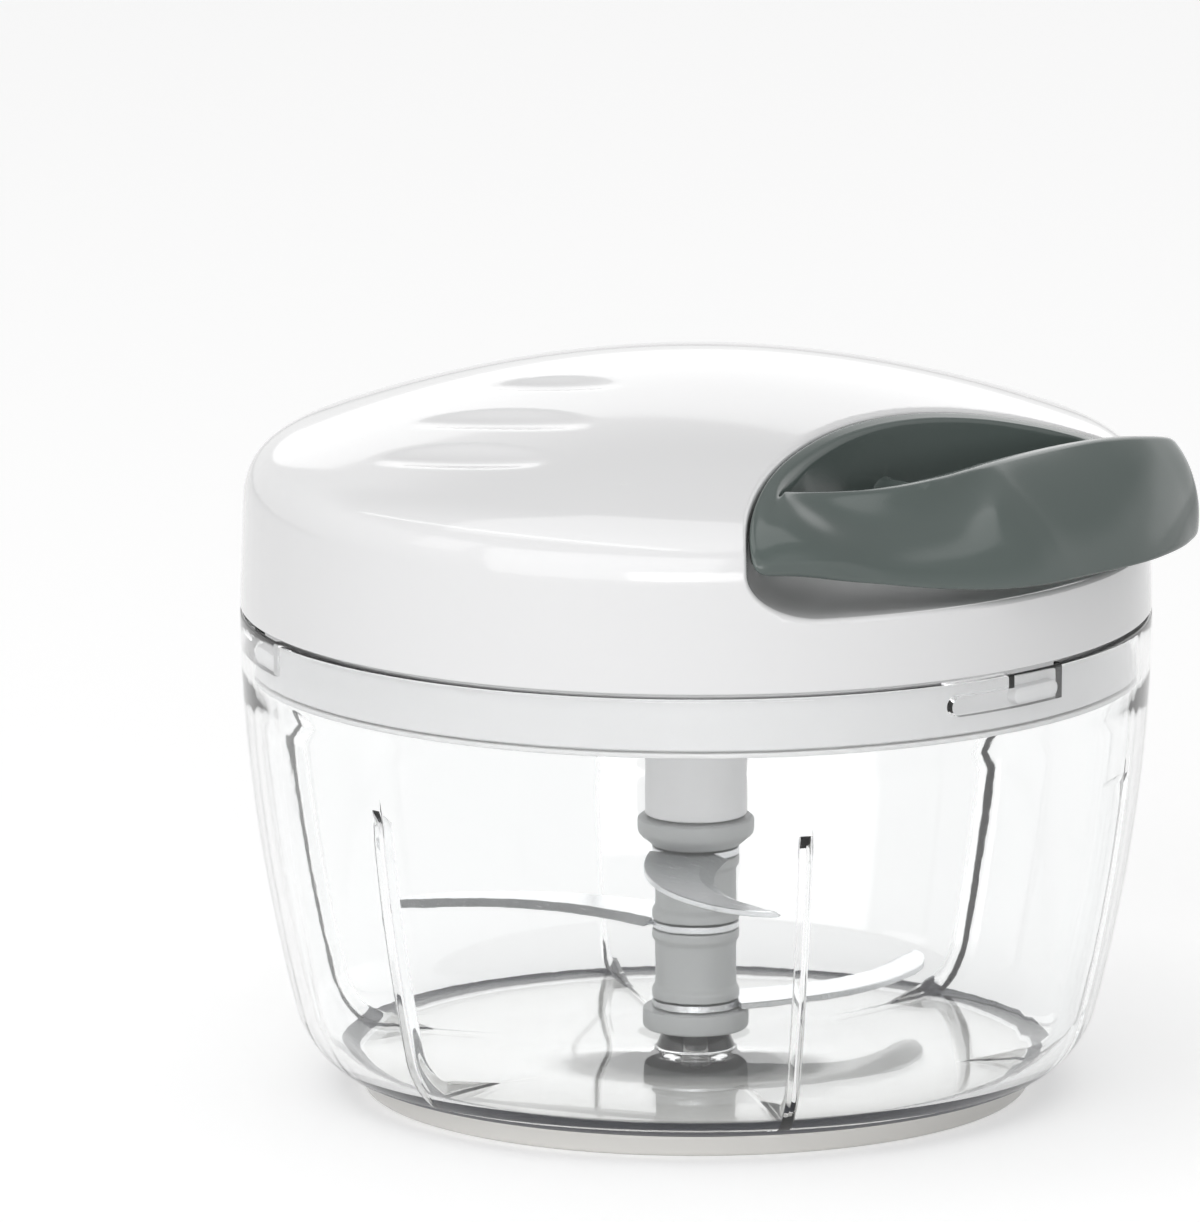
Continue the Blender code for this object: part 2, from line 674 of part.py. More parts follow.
def recess_block(name, grow):
    """The recess as a solid: stacked ellipses that widen up the cove, grown by the amount given."""
    levels = []
    for step in range(6):
        angle = math.pi / 2 * step / 5
        inset = COVE_RUN * (1 - math.sin(angle))
        levels.append((inset, RECESS_FLOOR_Z + COVE_RISE * (1 - math.cos(angle))))
    levels.append((0, TOP_Z + 5 * MM))
    rings = []
    for inset, z in levels:
        depth = RECESS_DEPTH - inset + grow
        half = RECESS_HALF_WIDTH - inset + grow
        ring = []
        for step in range(RECESS_ROUND):
            angle = math.tau * step / RECESS_ROUND
            ring.append((RECESS_X + depth * math.cos(angle), half * math.sin(angle), z - grow))
        rings.append(ring)
    return finish(name, loft(rings), None)


def groove_form(index):
    """A long shallow ellipsoid that presses one finger groove into the cover."""
    bm = bmesh.new()
    bmesh.ops.create_uvsphere(bm, u_segments=16, v_segments=12, radius=1)
    length, sag = GROOVE_LENGTHS[index] / 2, GROOVE_DEPTH * 2.5
    x, y = GROOVE_SHIFTS[index], GROOVE_OFFSETS[index]
    radius = math.hypot(x, y)
    slope = -CROWN_DROP * CROWN_POWER / SHOULDER_RADIUS
    slope *= (radius / SHOULDER_RADIUS) ** (CROWN_POWER - 1)
    tilt = Matrix.Rotation(math.atan(slope), 4, Vector((-y, x, 0)).normalized())
    place = Matrix.Translation((x, y, cover_height(radius) + sag - GROOVE_DEPTH))
    turn = Matrix.Rotation(GROOVE_TURN + math.pi / 2, 4, "Z")
    size = Matrix.Diagonal((length * 1.15, GROOVE_WIDTH * 0.62, sag, 1))
    pole = Matrix.Rotation(math.pi / 2, 4, "Y")
    bmesh.ops.transform(bm, matrix=place @ tilt.inverted() @ turn @ size @ pole, verts=bm.verts)
    return finish(f"groove_form_{index + 1}", bm, None)


def build_cover(look, body):
    """The domed shell, with the recess, finger grooves, screw posts and the arbor's boss."""
    outer = cover_profile()
    edge = outer[0][1]
    cover = turned("top_cover", [(0, edge)] + outer + [(0, TOP_Z)], look, body, ROUND)
    combine(cover, recess_block("recess", 0))
    for index in range(len(GROOVE_OFFSETS)):
        combine(cover, groove_form(index))

    inner = offset_profile(outer + [(0, TOP_Z)], COVER_WALL)
    low = edge - 2 * MM
    inner = [(inner[0][0], low)] + inner[1:-1:2] + [(0, TOP_Z - COVER_WALL)]
    hollow = turned("cover_hollow", [(0, low)] + inner, steps=ROUND)
    combine(hollow, recess_block("recess_wall", COVER_WALL))
    guide_hole = along_x("guide_hole", [(0, -2), (1, -2), (1, 1), (0, 1)], guide_bore(), 4 * MM)
    combine(hollow, guide_hole, "UNION")
    post_low = PLATE_TOP_Z + FIT_GAP
    for index, place in enumerate(screw_places()):
        post = turned(f"post_{index + 1}", disc_profile(POST_RADIUS, post_low, TOP_Z), steps=16)
        combine(hollow, moved(post, offset=place))
    boss_radius = ARBOR_RADIUS + FIT_GAP + ARBOR_BOSS_WALL
    combine(hollow, turned("arbor_boss", disc_profile(boss_radius, ARBOR_BOSS_Z, TOP_Z)))
    combine(cover, hollow)

    for index, place in enumerate(screw_places()):
        pilot = disc_profile(
            SCREW_RADIUS + FIT_GAP, post_low - 1 * MM, post_low + SCREW_REACH + 1 * MM
        )
        combine(cover, moved(turned(f"pilot_{index + 1}", pilot, steps=12), offset=place))
    socket = disc_profile(ARBOR_RADIUS + FIT_GAP, ARBOR_BOSS_Z - 1 * MM, arbor_top() + FIT_GAP)
    combine(cover, turned("arbor_socket", socket, steps=24))
    return cover


def along_x(name, shape, radius, length, look=None, body=None, steps=16):
    """A piece turned about the cord's line through the recess wall, from unit points."""
    profile = [(r * radius, z * length) for r, z in shape]
    bm = turned_mesh(profile, steps)
    stand = Matrix.Translation((RECESS_WALL_X, 0, CORD_Z)) @ Matrix.Rotation(math.pi / 2, 4, "Y")
    bmesh.ops.transform(bm, matrix=stand, verts=bm.verts)
    return finish(name, bm, look, body)


def guide_bore():
    """Radius of the hole through the recess wall for the cord's guide."""
    return CORD_DIAMETER / 2 + RUN_GAP + GUIDE_LIP + FIT_GAP


def arbor_top():
    return TOP_Z - COVER_WALL - 2 * MM


def build_arbor(look, body):
    """The fixed post that holds the spring's inner end and steadies the drum."""
    flange_top = ARBOR_BOSS_Z - FIT_GAP
    profile = [
        (0, DRUM_Z + DRUM_FLOOR + FIT_GAP),
        (ARBOR_RADIUS - 0.5 * MM, DRUM_Z + DRUM_FLOOR + FIT_GAP),
        (ARBOR_RADIUS, DRUM_Z + DRUM_FLOOR + FIT_GAP + 0.5 * MM),
        (ARBOR_RADIUS, flange_top - ARBOR_FLANGE),
        (ARBOR_RADIUS + ARBOR_BOSS_WALL, flange_top - ARBOR_FLANGE),
        (ARBOR_RADIUS + ARBOR_BOSS_WALL, flange_top),
        (ARBOR_RADIUS, flange_top),
        (ARBOR_RADIUS, arbor_top()),
        (0, arbor_top()),
    ]
    return turned("spring_arbor", profile, look, body, 24)


def build_spring(look, body):
    """A flat strip wound in a spiral between the arbor and the drum's inner wall."""
    start = ARBOR_RADIUS + FIT_GAP + SPRING_STRIP / 2
    end = DRUM_RADIUS - DRUM_SHELL - FIT_GAP - SPRING_STRIP / 2
    low = DRUM_Z + DRUM_FLOOR + FIT_GAP * 3
    count = SPRING_TURNS * 18
    rings = []
    for step in range(count + 1):
        angle = math.tau * SPRING_TURNS * step / count
        middle = start + (end - start) * step / count
        ring = []
        for side, z in ((-1, 0), (1, 0), (1, SPRING_HEIGHT), (-1, SPRING_HEIGHT)):
            radius = middle + side * SPRING_STRIP / 2
            ring.append((radius * math.cos(angle), radius * math.sin(angle), low + z))
        rings.append(ring)
    return finish("recoil_spring", loft(rings), look, body)


def build_drum(look, body):
    """The cord drum: two flanges, a groove for the cord and a cup for the spring."""
    cup = DRUM_RADIUS - DRUM_SHELL
    lip = DRUM_FLANGE_RADIUS
    floor_top = DRUM_Z + DRUM_FLOOR
    profile = [
        (0, DRUM_Z),
        (lip, DRUM_Z),
        (lip, GROOVE_Z - 0.4 * MM),
        (DRUM_RADIUS, GROOVE_Z),
        (DRUM_RADIUS, GROOVE_Z + DRUM_GROOVE),
        (lip, GROOVE_Z + DRUM_GROOVE + 0.4 * MM),
        (lip, DRUM_TOP_Z),
        (cup, DRUM_TOP_Z),
        (cup, floor_top),
        (0, floor_top),
    ]
    drum = turned("cord_drum", profile, look, body, 36)
    hexagon = arc(SPIGOT_RADIUS + FIT_GAP * 1.2, 0, math.tau * 5 / 6, 5)
    combine(drum, prism("drum_socket", hexagon, DRUM_Z - 1 * MM, floor_top + 1 * MM))
    return drum


def build_shaft(look, body):
    """Drive shaft: a hexagon into the drum, a bearing flange, and clutch fingers at the foot."""
    end = SLEEVE_END_Z + 0.9 * MM
    root = SLEEVE_END_Z + CLUTCH_DEPTH + 0.7 * MM
    bore = STEM_RADIUS - SHAFT_WALL / 2 + RUN_GAP
    profile = [
        (bore, end),
        (SHAFT_RADIUS, end),
        (SHAFT_RADIUS, FLANGE_Z),
        (SHAFT_BORE + 3 * MM, FLANGE_Z),
        (SHAFT_BORE + 3 * MM, FLANGE_Z + SHAFT_FLANGE),
        (0, FLANGE_Z + SHAFT_FLANGE),
        (0, root + 2 * MM),
        (bore, root + 2 * MM),
    ]
    shaft = turned("drive_shaft", profile, look, body, SMALL_ROUND)
    hexagon = arc(SPIGOT_RADIUS, 0, math.tau * 5 / 6, 5)
    spigot_low = FLANGE_Z + SHAFT_FLANGE / 2
    spigot_high = FLANGE_Z + SHAFT_FLANGE + SPIGOT_HEIGHT
    combine(shaft, prism("shaft_spigot", hexagon, spigot_low, spigot_high), "UNION")
    half = math.pi / CLUTCH_TEETH - FINGER_HALF_ANGLE
    for index in range(CLUTCH_TEETH):
        middle = math.tau * index / CLUTCH_TEETH
        gap = sector(
            f"finger_gap_{index + 1}",
            bore * 0.5,
            SHAFT_RADIUS + 1 * MM,
            middle - half,
            middle + half,
            end - 1 * MM,
            root,
            steps=4,
        )
        combine(shaft, gap)
    return shaft


def tube_along(name, points, radius, sides, look, body):
    """A round cord through the points, with flat ends."""
    points = [Vector(point) for point in points]
    last = len(points) - 1
    rings = []
    for i, point in enumerate(points):
        ahead = (points[min(i + 1, last)] - points[max(i - 1, 0)]).normalized()
        across = ahead.cross(Vector((0, 0, 1))).normalized()
        over = across.cross(ahead)
        ring = []
        for side in range(sides):
            turn = math.tau * side / sides
            ring.append(point + (across * math.cos(turn) + over * math.sin(turn)) * radius)
        rings.append(ring)
    return finish(name, loft(rings), look, body)


def tangent_angle():
    """Where the cord leaves the drum on its way to the guide."""
    return -math.acos(WIND_RADIUS / RECESS_WALL_X)


def build_winding(look, body):
    """The cord on the drum: one open coil that climbs to the height of the guide."""
    count = int(CORD_TURNS * 20)
    points = []
    for step in range(count + 1):
        back = CORD_TURNS * (1 - step / count)
        angle = tangent_angle() - math.tau * back
        place = Vector((WIND_RADIUS * math.cos(angle), WIND_RADIUS * math.sin(angle)))
        points.append((place.x, place.y, CORD_Z - CORD_PITCH * back))
    least = CORD_PITCH - CORD_DIAMETER
    print(f"cord_winding: least gap between turns {least / MM:.2f} mm")
    return tube_along("cord_winding", points, CORD_DIAMETER / 2, 6, look, body)


def build_lead(look, body):
    """The cord from the drum to the guide, where it bends into the handle's line."""
    angle = tangent_angle()
    start = Vector((WIND_RADIUS * math.cos(angle), WIND_RADIUS * math.sin(angle), CORD_Z))
    mouth = RECESS_WALL_X - COVER_WALL - FIT_GAP - GUIDE_FLANGE - FIT_GAP
    bend_run = 3 * MM
    bend = Vector((mouth - bend_run, 0, CORD_Z))
    ahead = (bend - start).normalized()
    first = start + ahead * FIT_GAP
    line_end = bend - ahead * bend_run
    points = [first.lerp(line_end, share) for share in (0, 0.35, 0.7)]
    for t in (0.0, 0.25, 0.5, 0.75):
        points.append(line_end.lerp(bend, t).lerp(bend.lerp(Vector((mouth, 0, CORD_Z)), t), t))
    points += [(mouth, 0, CORD_Z), (RECESS_WALL_X, 0, CORD_Z)]
    return tube_along("cord_lead", points, CORD_DIAMETER / 2, 8, look, body)


def build_guide(look, body):
    """A flanged steel eyelet in the recess wall that the cord runs through."""
    inner = CORD_DIAMETER / 2 + RUN_GAP
    outer = inner + GUIDE_LIP
    back = -COVER_WALL - FIT_GAP
    profile = [
        (inner, 0),
        (inner, back - GUIDE_FLANGE),
        (outer + 1.4 * MM, back - GUIDE_FLANGE),
        (outer + 1.4 * MM, back),
        (outer, back),
        (outer, 0),
    ]
    return along_x("cord_guide", profile, 1, 1, look, body, 20)


def smooth_closed(points, steps):
    """Points on a closed curve through the given ones."""
    count = len(points)
    made = []
    for i in range(count):
        before, first = points[i - 1], points[i]
        last, after = points[(i + 1) % count], points[(i + 2) % count]
        for step in range(steps):
            t = step / steps
            made.append(
                first
                + (last - before) * (t / 2)
                + (before * 2 - first * 5 + last * 4 - after) * (t**2 / 2)
                + (first * 3 - before - last * 3 + after) * (t**3 / 2)
            )
    return made


def cut_corners(ring, corners, distance):
    """A ring of points with some of its corners cut back by the distance."""
    made = []
    for i, point in enumerate(ring):
        if i not in corners:
            made.append(point)
            continue
        for other in (ring[i - 1], ring[(i + 1) % len(ring)]):
            reach = other - point
            made.append(point + reach * min(distance / reach.length, 0.4))
    return made


def recess_edge(angle, inset):
    """A plan point on the recess's wall, moved in by the inset."""
    return (
        RECESS_X - (RECESS_DEPTH - inset) * math.cos(angle),
        (RECESS_HALF_WIDTH - inset) * math.sin(angle),
    )


def on_crown(x, y):
    """The point of the handle's rim over a place in the plan, just under the cover's surface."""
    return Vector((x, y, cover_height(math.hypot(x, y)) - HANDLE_RIM_DROP))


def back_section(outer_turn, inner_turn, inset):
    """A section of the wall that follows the recess, between two places on the ellipse."""
    x, y = recess_edge(outer_turn, inset)
    inner_x, inner_y = recess_edge(inner_turn, HANDLE_GAP + HANDLE_WALL)
    top = on_crown(x, y)
    low = Vector((x, y, RECESS_FLOOR_Z + COVE_RISE + FIT_GAP))
    return (
        top,
        top.lerp(low, FACE_SHARE),
        top.lerp(low, RIDGE_SHARE),
        low,
        Vector((inner_x, inner_y, low.z)),
        on_crown(inner_x, inner_y),
        on_crown((x + inner_x) / 2, (y + inner_y) / 2),
    )


def grip_section(row):
    """A section of the grip, set out from the cover's wall by one row of GRIP."""
    row = [value * PLAN for value in row]
    along, top_out, top_up, low_along, low_out, low_up, full, ridge, back, side, rise = row
    wall = RIM_RADIUS - COVER_DRAFT
    top = Vector((math.sqrt(wall**2 - along**2) + top_out, along, GRIP_BOTTOM_Z + top_up))
    low_edge = math.sqrt(wall**2 - low_along**2)
    low = Vector((low_edge + low_out, low_along, GRIP_BOTTOM_Z + low_up))
    down = (low - top).normalized()
    out = Vector((-down.z, 0, down.x)).normalized()
    top_in = top + Vector((-back * 0.9, side * 0.9, rise))
    return (
        top,
        top.lerp(low, FACE_SHARE) + out * full,
        top.lerp(low, RIDGE_SHARE) + out * ridge,
        low,
        low + Vector((-back, side, 0.4 * MM)),
        top_in,
        (top + top_in) / 2,
    )


def handle_sections():
    """Sections round the handle's loop: outer top edge, face, low edge, inner edges, rim."""
    sections = []
    for outer, inner in BACK_TURNS:
        inset = HANDLE_GAP * (2 if abs(outer) > 50 else 1)
        sections.append(back_section(math.radians(outer), math.radians(inner), inset))
    return sections + [grip_section(row) for row in GRIP]


def build_handle(look, body):
    """The pull handle: a closed loop lofted from its sections, with rounded edges."""
    sections = handle_sections()
    count = len(sections[0])
    rails = [smooth_closed([section[i] for section in sections], 2) for i in range(count)]
    rings = [cut_corners(ring, (0, 3, 4, 5), GRIP_EDGE) for ring in zip(*rails)]
    handle = finish("pull_handle", loft(rings, closed=True), look, body, sharp=60)
    start = HANDLE_GAP + HANDLE_WALL / 2
    end = KNOT_BOSS_END
    boss = disc_profile(KNOT_BOSS_RADIUS, start, end)
    combine(handle, along_x("knot_boss", boss, 1, 1), "UNION")
    pocket_radius = KNOT_BOSS_RADIUS - KNOT_BOSS_WALL
    hole = CORD_DIAMETER / 2 + RUN_GAP
    bore = [
        (0, -1 * MM),
        (hole, -1 * MM),
        (hole, KNOT_POCKET),
        (pocket_radius, KNOT_POCKET),
        (pocket_radius, end + 1 * MM),
        (0, end + 1 * MM),
    ]
    combine(handle, along_x("knot_pocket", bore, 1, 1))
    return handle


def build_handle_trim(look, cord, body):
    """The cord's last stretch, its knot, and the cap that closes the knot's pocket."""
    cap_radius = KNOT_BOSS_RADIUS - KNOT_BOSS_WALL - FIT_GAP
    cap = disc_profile(cap_radius, KNOT_BOSS_END - KNOT_CAP, KNOT_BOSS_END)
    along_x("knot_cap", cap, 1, 1, look, body, 20)

    knot_x = RECESS_WALL_X + KNOT_POCKET + FIT_GAP + KNOT_RADIUS
    bm = bmesh.new()
    bmesh.ops.create_icosphere(bm, subdivisions=2, radius=KNOT_RADIUS)
    bmesh.ops.translate(bm, vec=(knot_x, 0, CORD_Z), verts=bm.verts)
    finish("cord_knot", bm, cord, body)

    start = RECESS_WALL_X + FIT_GAP
    stop = knot_x - KNOT_RADIUS - FIT_GAP
    points = [(start, 0, CORD_Z), (stop, 0, CORD_Z)]
    tube_along("cord_tail", points, CORD_DIAMETER / 2, 8, cord, body)


def build_screws(look, body):
    """Pan-head screws up through the plate into the cover's posts, each with a cross recess."""
    head_top = PLATE_Z - FIT_GAP
    head_low = head_top - SCREW_HEAD
    tip = PLATE_TOP_Z + FIT_GAP + SCREW_REACH
    profile = [
        (0, head_low),
        (SCREW_HEAD_RADIUS * 0.75, head_low),
        (SCREW_HEAD_RADIUS, head_low + SCREW_HEAD * 0.5),
        (SCREW_HEAD_RADIUS, head_top),
        (SCREW_RADIUS, head_top),
        (SCREW_RADIUS, tip - 1 * MM),
        (0, tip),
    ]
    for index, place in enumerate(screw_places()):
        screw = turned(f"cover_screw_{index + 1}", profile, look, body, 10)
        arm, slot = SCREW_HEAD_RADIUS * 0.6, 0.4 * MM
        cross = []
        for quarter in range(4):
            turn = Matrix.Rotation(math.pi / 2 * quarter, 2)
            for corner in ((slot, slot), (slot, arm), (-slot, arm)):
                point = Vector(corner)
                point.rotate(turn)
                cross.append(tuple(point))
        recess = prism(f"screw_cross_{index + 1}", cross, head_low - 1 * MM, head_low + SCREW_HEAD * 0.5)
        combine(screw, moved(recess, offset=place))
        moved(screw, offset=place)


def main():
    clear_scene()
    clear = material("clear_plastic", (0.90, 0.92, 0.93), 0.05, alpha=0.35)
    soft_base = material("base_rubber", (0.88, 0.86, 0.82), 0.35)
    white = material("cover_white", (0.87, 0.87, 0.87), 0.12)
    grey = material("lid_grey", (0.62, 0.62, 0.63), 0.35)
    hub_grey = material("hub_grey", (0.45, 0.45, 0.46), 0.40)
    handle_grey = material("handle_grey", (0.13, 0.16, 0.15), 0.25)
    silicone = material("seal_silicone", (0.75, 0.75, 0.75), 0.5)
    drum_plastic = material("drum_plastic", (0.80, 0.80, 0.78), 0.4)
    steel = material("steel", (0.66, 0.67, 0.68), 0.25, metallic=1.0)
    spring_steel = material("spring_steel", (0.35, 0.36, 0.38), 0.35, metallic=1.0)
    cord = material("cord", (0.80, 0.80, 0.78), 0.8)

    bowl_body = body_frame("bowl_body")
    seal_body = body_frame("seal_body", bowl_body)
    lid_body = body_frame("lid_body", seal_body)
    handle_body = body_frame("handle_body", lid_body)
    drum_body = body_frame("drum_body", lid_body)
    blades_body = body_frame("blades_body", bowl_body)

    build_bowl(clear, bowl_body)
    build_base(soft_base, bowl_body)
    build_pin(steel, bowl_body)
    build_blade_unit(steel, hub_grey, blades_body)
    build_seal(silicone, seal_body)
    build_lid_base(grey, lid_body)
    build_cover(white, lid_body)
    build_arbor(steel, lid_body)
    build_spring(spring_steel, lid_body)
    build_guide(steel, lid_body)
    build_lead(cord, lid_body)
    build_screws(steel, lid_body)
    build_drum(drum_plastic, drum_body)
    build_shaft(hub_grey, drum_body)
    build_winding(cord, drum_body)
    washer = tube_profile(
        SHAFT_BORE, SHAFT_BORE + 3 * MM, WASHER_Z, WASHER_Z + WASHER_THICKNESS
    )
    turned("bearing_washer", washer, steel, drum_body, 24)
    cup = DRUM_RADIUS - DRUM_SHELL - FIT_GAP
    cover = tube_profile(
        ARBOR_RADIUS + RUN_GAP, cup, DRUM_TOP_Z - SPRING_COVER, DRUM_TOP_Z
    )
    turned("spring_cover", cover, drum_plastic, drum_body)
    build_handle(handle_grey, handle_body)
    build_handle_trim(handle_grey, cord, handle_body)


main()
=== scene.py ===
# Looks of the pull-cord food chopper, piece by piece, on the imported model.
import math

import bmesh
import bpy
from mathutils import Matrix, Vector


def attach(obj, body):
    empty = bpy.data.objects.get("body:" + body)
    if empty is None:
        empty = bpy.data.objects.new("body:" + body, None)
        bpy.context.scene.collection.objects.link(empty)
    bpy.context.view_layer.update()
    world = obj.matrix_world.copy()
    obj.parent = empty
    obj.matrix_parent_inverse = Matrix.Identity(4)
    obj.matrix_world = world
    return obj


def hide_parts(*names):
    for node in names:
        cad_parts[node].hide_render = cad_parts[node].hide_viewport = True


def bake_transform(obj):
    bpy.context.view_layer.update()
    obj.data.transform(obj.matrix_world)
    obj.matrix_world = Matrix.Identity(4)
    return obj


print("loading the packed model")
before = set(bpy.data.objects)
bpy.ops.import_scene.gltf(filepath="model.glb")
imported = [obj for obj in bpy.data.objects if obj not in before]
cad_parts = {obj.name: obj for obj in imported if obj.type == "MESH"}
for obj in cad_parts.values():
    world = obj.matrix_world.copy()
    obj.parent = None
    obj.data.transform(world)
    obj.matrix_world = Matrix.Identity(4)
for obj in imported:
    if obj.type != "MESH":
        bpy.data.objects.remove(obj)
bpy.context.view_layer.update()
mm = 0.001  # the pieces are drawn in millimetres and scaled once, when they are finished

# sizes that several pieces share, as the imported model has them
rim = {"radius": 72.9, "z": 77.9, "bore": 70.5}
skirt = {
    "radius": 70.0,
    "wall": 2.6,
    "end": 69.2,
    "plate": 78.9,
    "plateTop": 81.1,
    "plateRadius": 70.4,
}
skirt["inner"] = skirt["radius"] - skirt["wall"]
lug = {"count": 3, "z": 74.0, "length": 10.2, "height": 2.7}
topZ = 118.2
cordZ = 100.8
recess = {
    "wallX": 36.7,
    "depth": 35.3,
    "half": 56.5,
    "floor": 90.0,
    "coveRun": 13.0,
    "coveRise": 7.6,
}
recess["x"] = recess["wallX"] + recess["depth"]
gap = 0.3


def finishPiece(name, bm, material=None, body=None, nodes=(), sharp=32):
    bmesh.ops.remove_doubles(bm, verts=bm.verts, dist=1e-4)
    bmesh.ops.recalc_face_normals(bm, faces=bm.faces)
    bmesh.ops.scale(bm, vec=(mm, mm, mm), verts=bm.verts)
    mesh = bpy.data.meshes.new(name)
    bm.to_mesh(mesh)
    bm.free()
    piece = bpy.data.objects.new(name, mesh)
    bpy.context.scene.collection.objects.link(piece)
    if material:
        mesh.materials.append(material)
    smooth(piece, sharp)
    settle(piece, body, nodes)
    return piece


def smooth(piece, sharp):
    piece.data.shade_smooth()
    piece.data.set_sharp_from_angle(angle=math.radians(sharp))


def settle(piece, body, nodes):
    if body:
        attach(piece, body)
    if nodes:
        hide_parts(*nodes)


def applyModifiers(piece):
    bpy.context.view_layer.update()
    graph = bpy.context.evaluated_depsgraph_get()
    made = bpy.data.meshes.new_from_object(piece.evaluated_get(graph))
    piece.modifiers.clear()
    piece.data = made


def shapeWith(piece, tools, sharp=30):
    # applies Booleans with helper pieces and throws the helpers away
    for tool, how in tools:
        step = piece.modifiers.new(tool.name, "BOOLEAN")
        step.operation = how
        step.object = tool
        step.solver = "EXACT"
    applyModifiers(piece)
    for tool, _ in tools:
        bpy.data.objects.remove(tool, do_unlink=True)
    smooth(piece, sharp)
    weigh = piece.modifiers.new("weigh", "WEIGHTED_NORMAL")
    weigh.keep_sharp = True
    applyModifiers(piece)


def skin(bm, rows, closed=False):
    # faces between rows of vertices that run round; a row of one vertex is a pole
    pairs = list(zip(rows, rows[1:]))
    if closed:
        pairs.append((rows[-1], rows[0]))
    for low, high in pairs:
        count = max(len(low), len(high))
        if count == 1:
            continue
        for i in range(count):
            j = (i + 1) % count
            if len(low) == 1:
                bm.faces.new((low[0], high[j], high[i]))
            elif len(high) == 1:
                bm.faces.new((low[i], low[j], high[0]))
            else:
                bm.faces.new((low[i], low[j], high[j], high[i]))


def onCircle(turn, radius, z):
    return radius * math.cos(turn), radius * math.sin(turn), z


def turnedRows(profile, turns, place):
    # rows of vertices round the axis, one row for each spot of a profile
    bm = bmesh.new()
    rows = []
    for spot in profile:
        if spot[0] < 1e-6:
            rows.append([bm.verts.new((0, 0, spot[1]))])
        else:
            rows.append([bm.verts.new(place(turn, *spot)) for turn in turns])
    return bm, rows


def revolved(profile, steps):
    turns = [math.tau * i / steps for i in range(steps)]
    bm, rows = turnedRows(profile, turns, onCircle)
    skin(bm, rows, len(rows[0]) > 1 or len(rows[-1]) > 1)
    return bm


def rod(radius, low, high):
    return [(0, low), (radius, low), (radius, high), (0, high)]


def lofted(rings, closed=False):
    bm = bmesh.new()
    rows = [[bm.verts.new(point) for point in ring] for ring in rings]
    skin(bm, rows, closed)
    if not closed:
        bm.faces.new(rows[0][::-1])
        bm.faces.new(rows[-1])
    return bm


def softCorners(outline, steps=3):
    # a spot with a third number has its corner rounded off, and is cut back by so much
    points = [Vector(spot[:2]) for spot in outline]
    made = []
    for i, (point, spot) in enumerate(zip(points, outline)):
        if len(spot) < 3:
            made.append(point)
            continue
        before, after = points[i - 1] - point, points[(i + 1) % len(points)] - point
        first = point + before * min(spot[2] / before.length, 0.45)
        last = point + after * min(spot[2] / after.length, 0.45)
        for step in range(steps + 1):
            t = step / steps
            made.append(first * (1 - t) ** 2 + point * 2 * t * (1 - t) + last * t**2)
    return made


def curvePoint(first, firstPull, lastPull, last, t):
    # a place on the cubic curve between two points, with the pulls as its middle points
    return (
        first * (1 - t) ** 3
        + firstPull * 3 * t * (1 - t) ** 2
        + lastPull * 3 * t**2 * (1 - t)
        + last * t**3
    )


def ringRound(point, ahead, up, radius, sides):
    across = ahead.cross(up).normalized()
    over = across.cross(ahead)
    turns = [math.tau * side / sides for side in range(sides)]
    return [point + (across * math.cos(turn) + over * math.sin(turn)) * radius for turn in turns]


def tubeRows(points, radius, sides):
    # rings of points round a line, for a cord
    rows = []
    last = len(points) - 1
    for i, point in enumerate(points):
        ahead = (points[min(i + 1, last)] - points[max(i - 1, 0)]).normalized()
        rows.append(ringRound(point, ahead, Vector((0, 0, 1)), radius, sides))
    return rows


def lengthsAlong(points):
    run = [0.0]
    for before, after in zip(points, points[1:]):
        run.append(run[-1] + (after - before).length)
    return run


def lineOffset(points, distance):
    moved = []
    last = len(points) - 1
    for i, (radius, z) in enumerate(points):
        before, after = points[max(i - 1, 0)], points[min(i + 1, last)]
        along = Vector((after[0] - before[0], after[1] - before[1])).normalized()
        moved.append((radius - along.y * distance, z + along.x * distance))
    return moved


def joinInto(bm, other, move=None):
    # adds another bmesh as an island of its own
    if move:
        bmesh.ops.transform(other, matrix=move, verts=other.verts)
    copies = {vert: bm.verts.new(vert.co) for vert in other.verts}
    for face in other.faces:
        bm.faces.new([copies[vert] for vert in face.verts])
    other.free()


def addTo(piece, other):
    # the other finished piece becomes a part of the first one's mesh
    both = bmesh.new()
    both.from_mesh(piece.data)
    both.from_mesh(other.data)
    both.to_mesh(piece.data)
    both.free()
    bpy.data.objects.remove(other, do_unlink=True)


def smoothStep(low, high, value):
    share = min(max((value - low) / (high - low), 0.0), 1.0)
    return share * share * (3 - 2 * share)


def feed(tree, sockets, values):
    # links or sets sockets by their labels
    for label, value in values.items():
        if isinstance(value, bpy.types.NodeSocket):
            tree.links.new(value, sockets[label])
        else:
            sockets[label].default_value = value


def put(tree, kind, sockets=None, **settings):
    made = tree.nodes.new("ShaderNode" + kind)
    for label, value in settings.items():
        setattr(made, label, value)
    feed(tree, made.inputs, sockets or {})
    return made


def maths(tree, how, *values, clamp=False):
    made = put(tree, "Math", dict(enumerate(values)), operation=how, use_clamp=clamp)
    return made.outputs[0]


def mapped(tree, value, low, high, toLow=0.0, toHigh=1.0, how="LINEAR"):
    ends = {"From Min": low, "From Max": high, "To Min": toLow, "To Max": toHigh}
    made = put(tree, "MapRange", {"Value": value, **ends}, interpolation_type=how)
    return made.outputs["Result"]


def noise(tree, place, scale, detail, distortion=0.0):
    sockets = {"Vector": place, "Scale": scale, "Detail": detail, "Distortion": distortion}
    return put(tree, "TexNoise", sockets).outputs["Fac"]


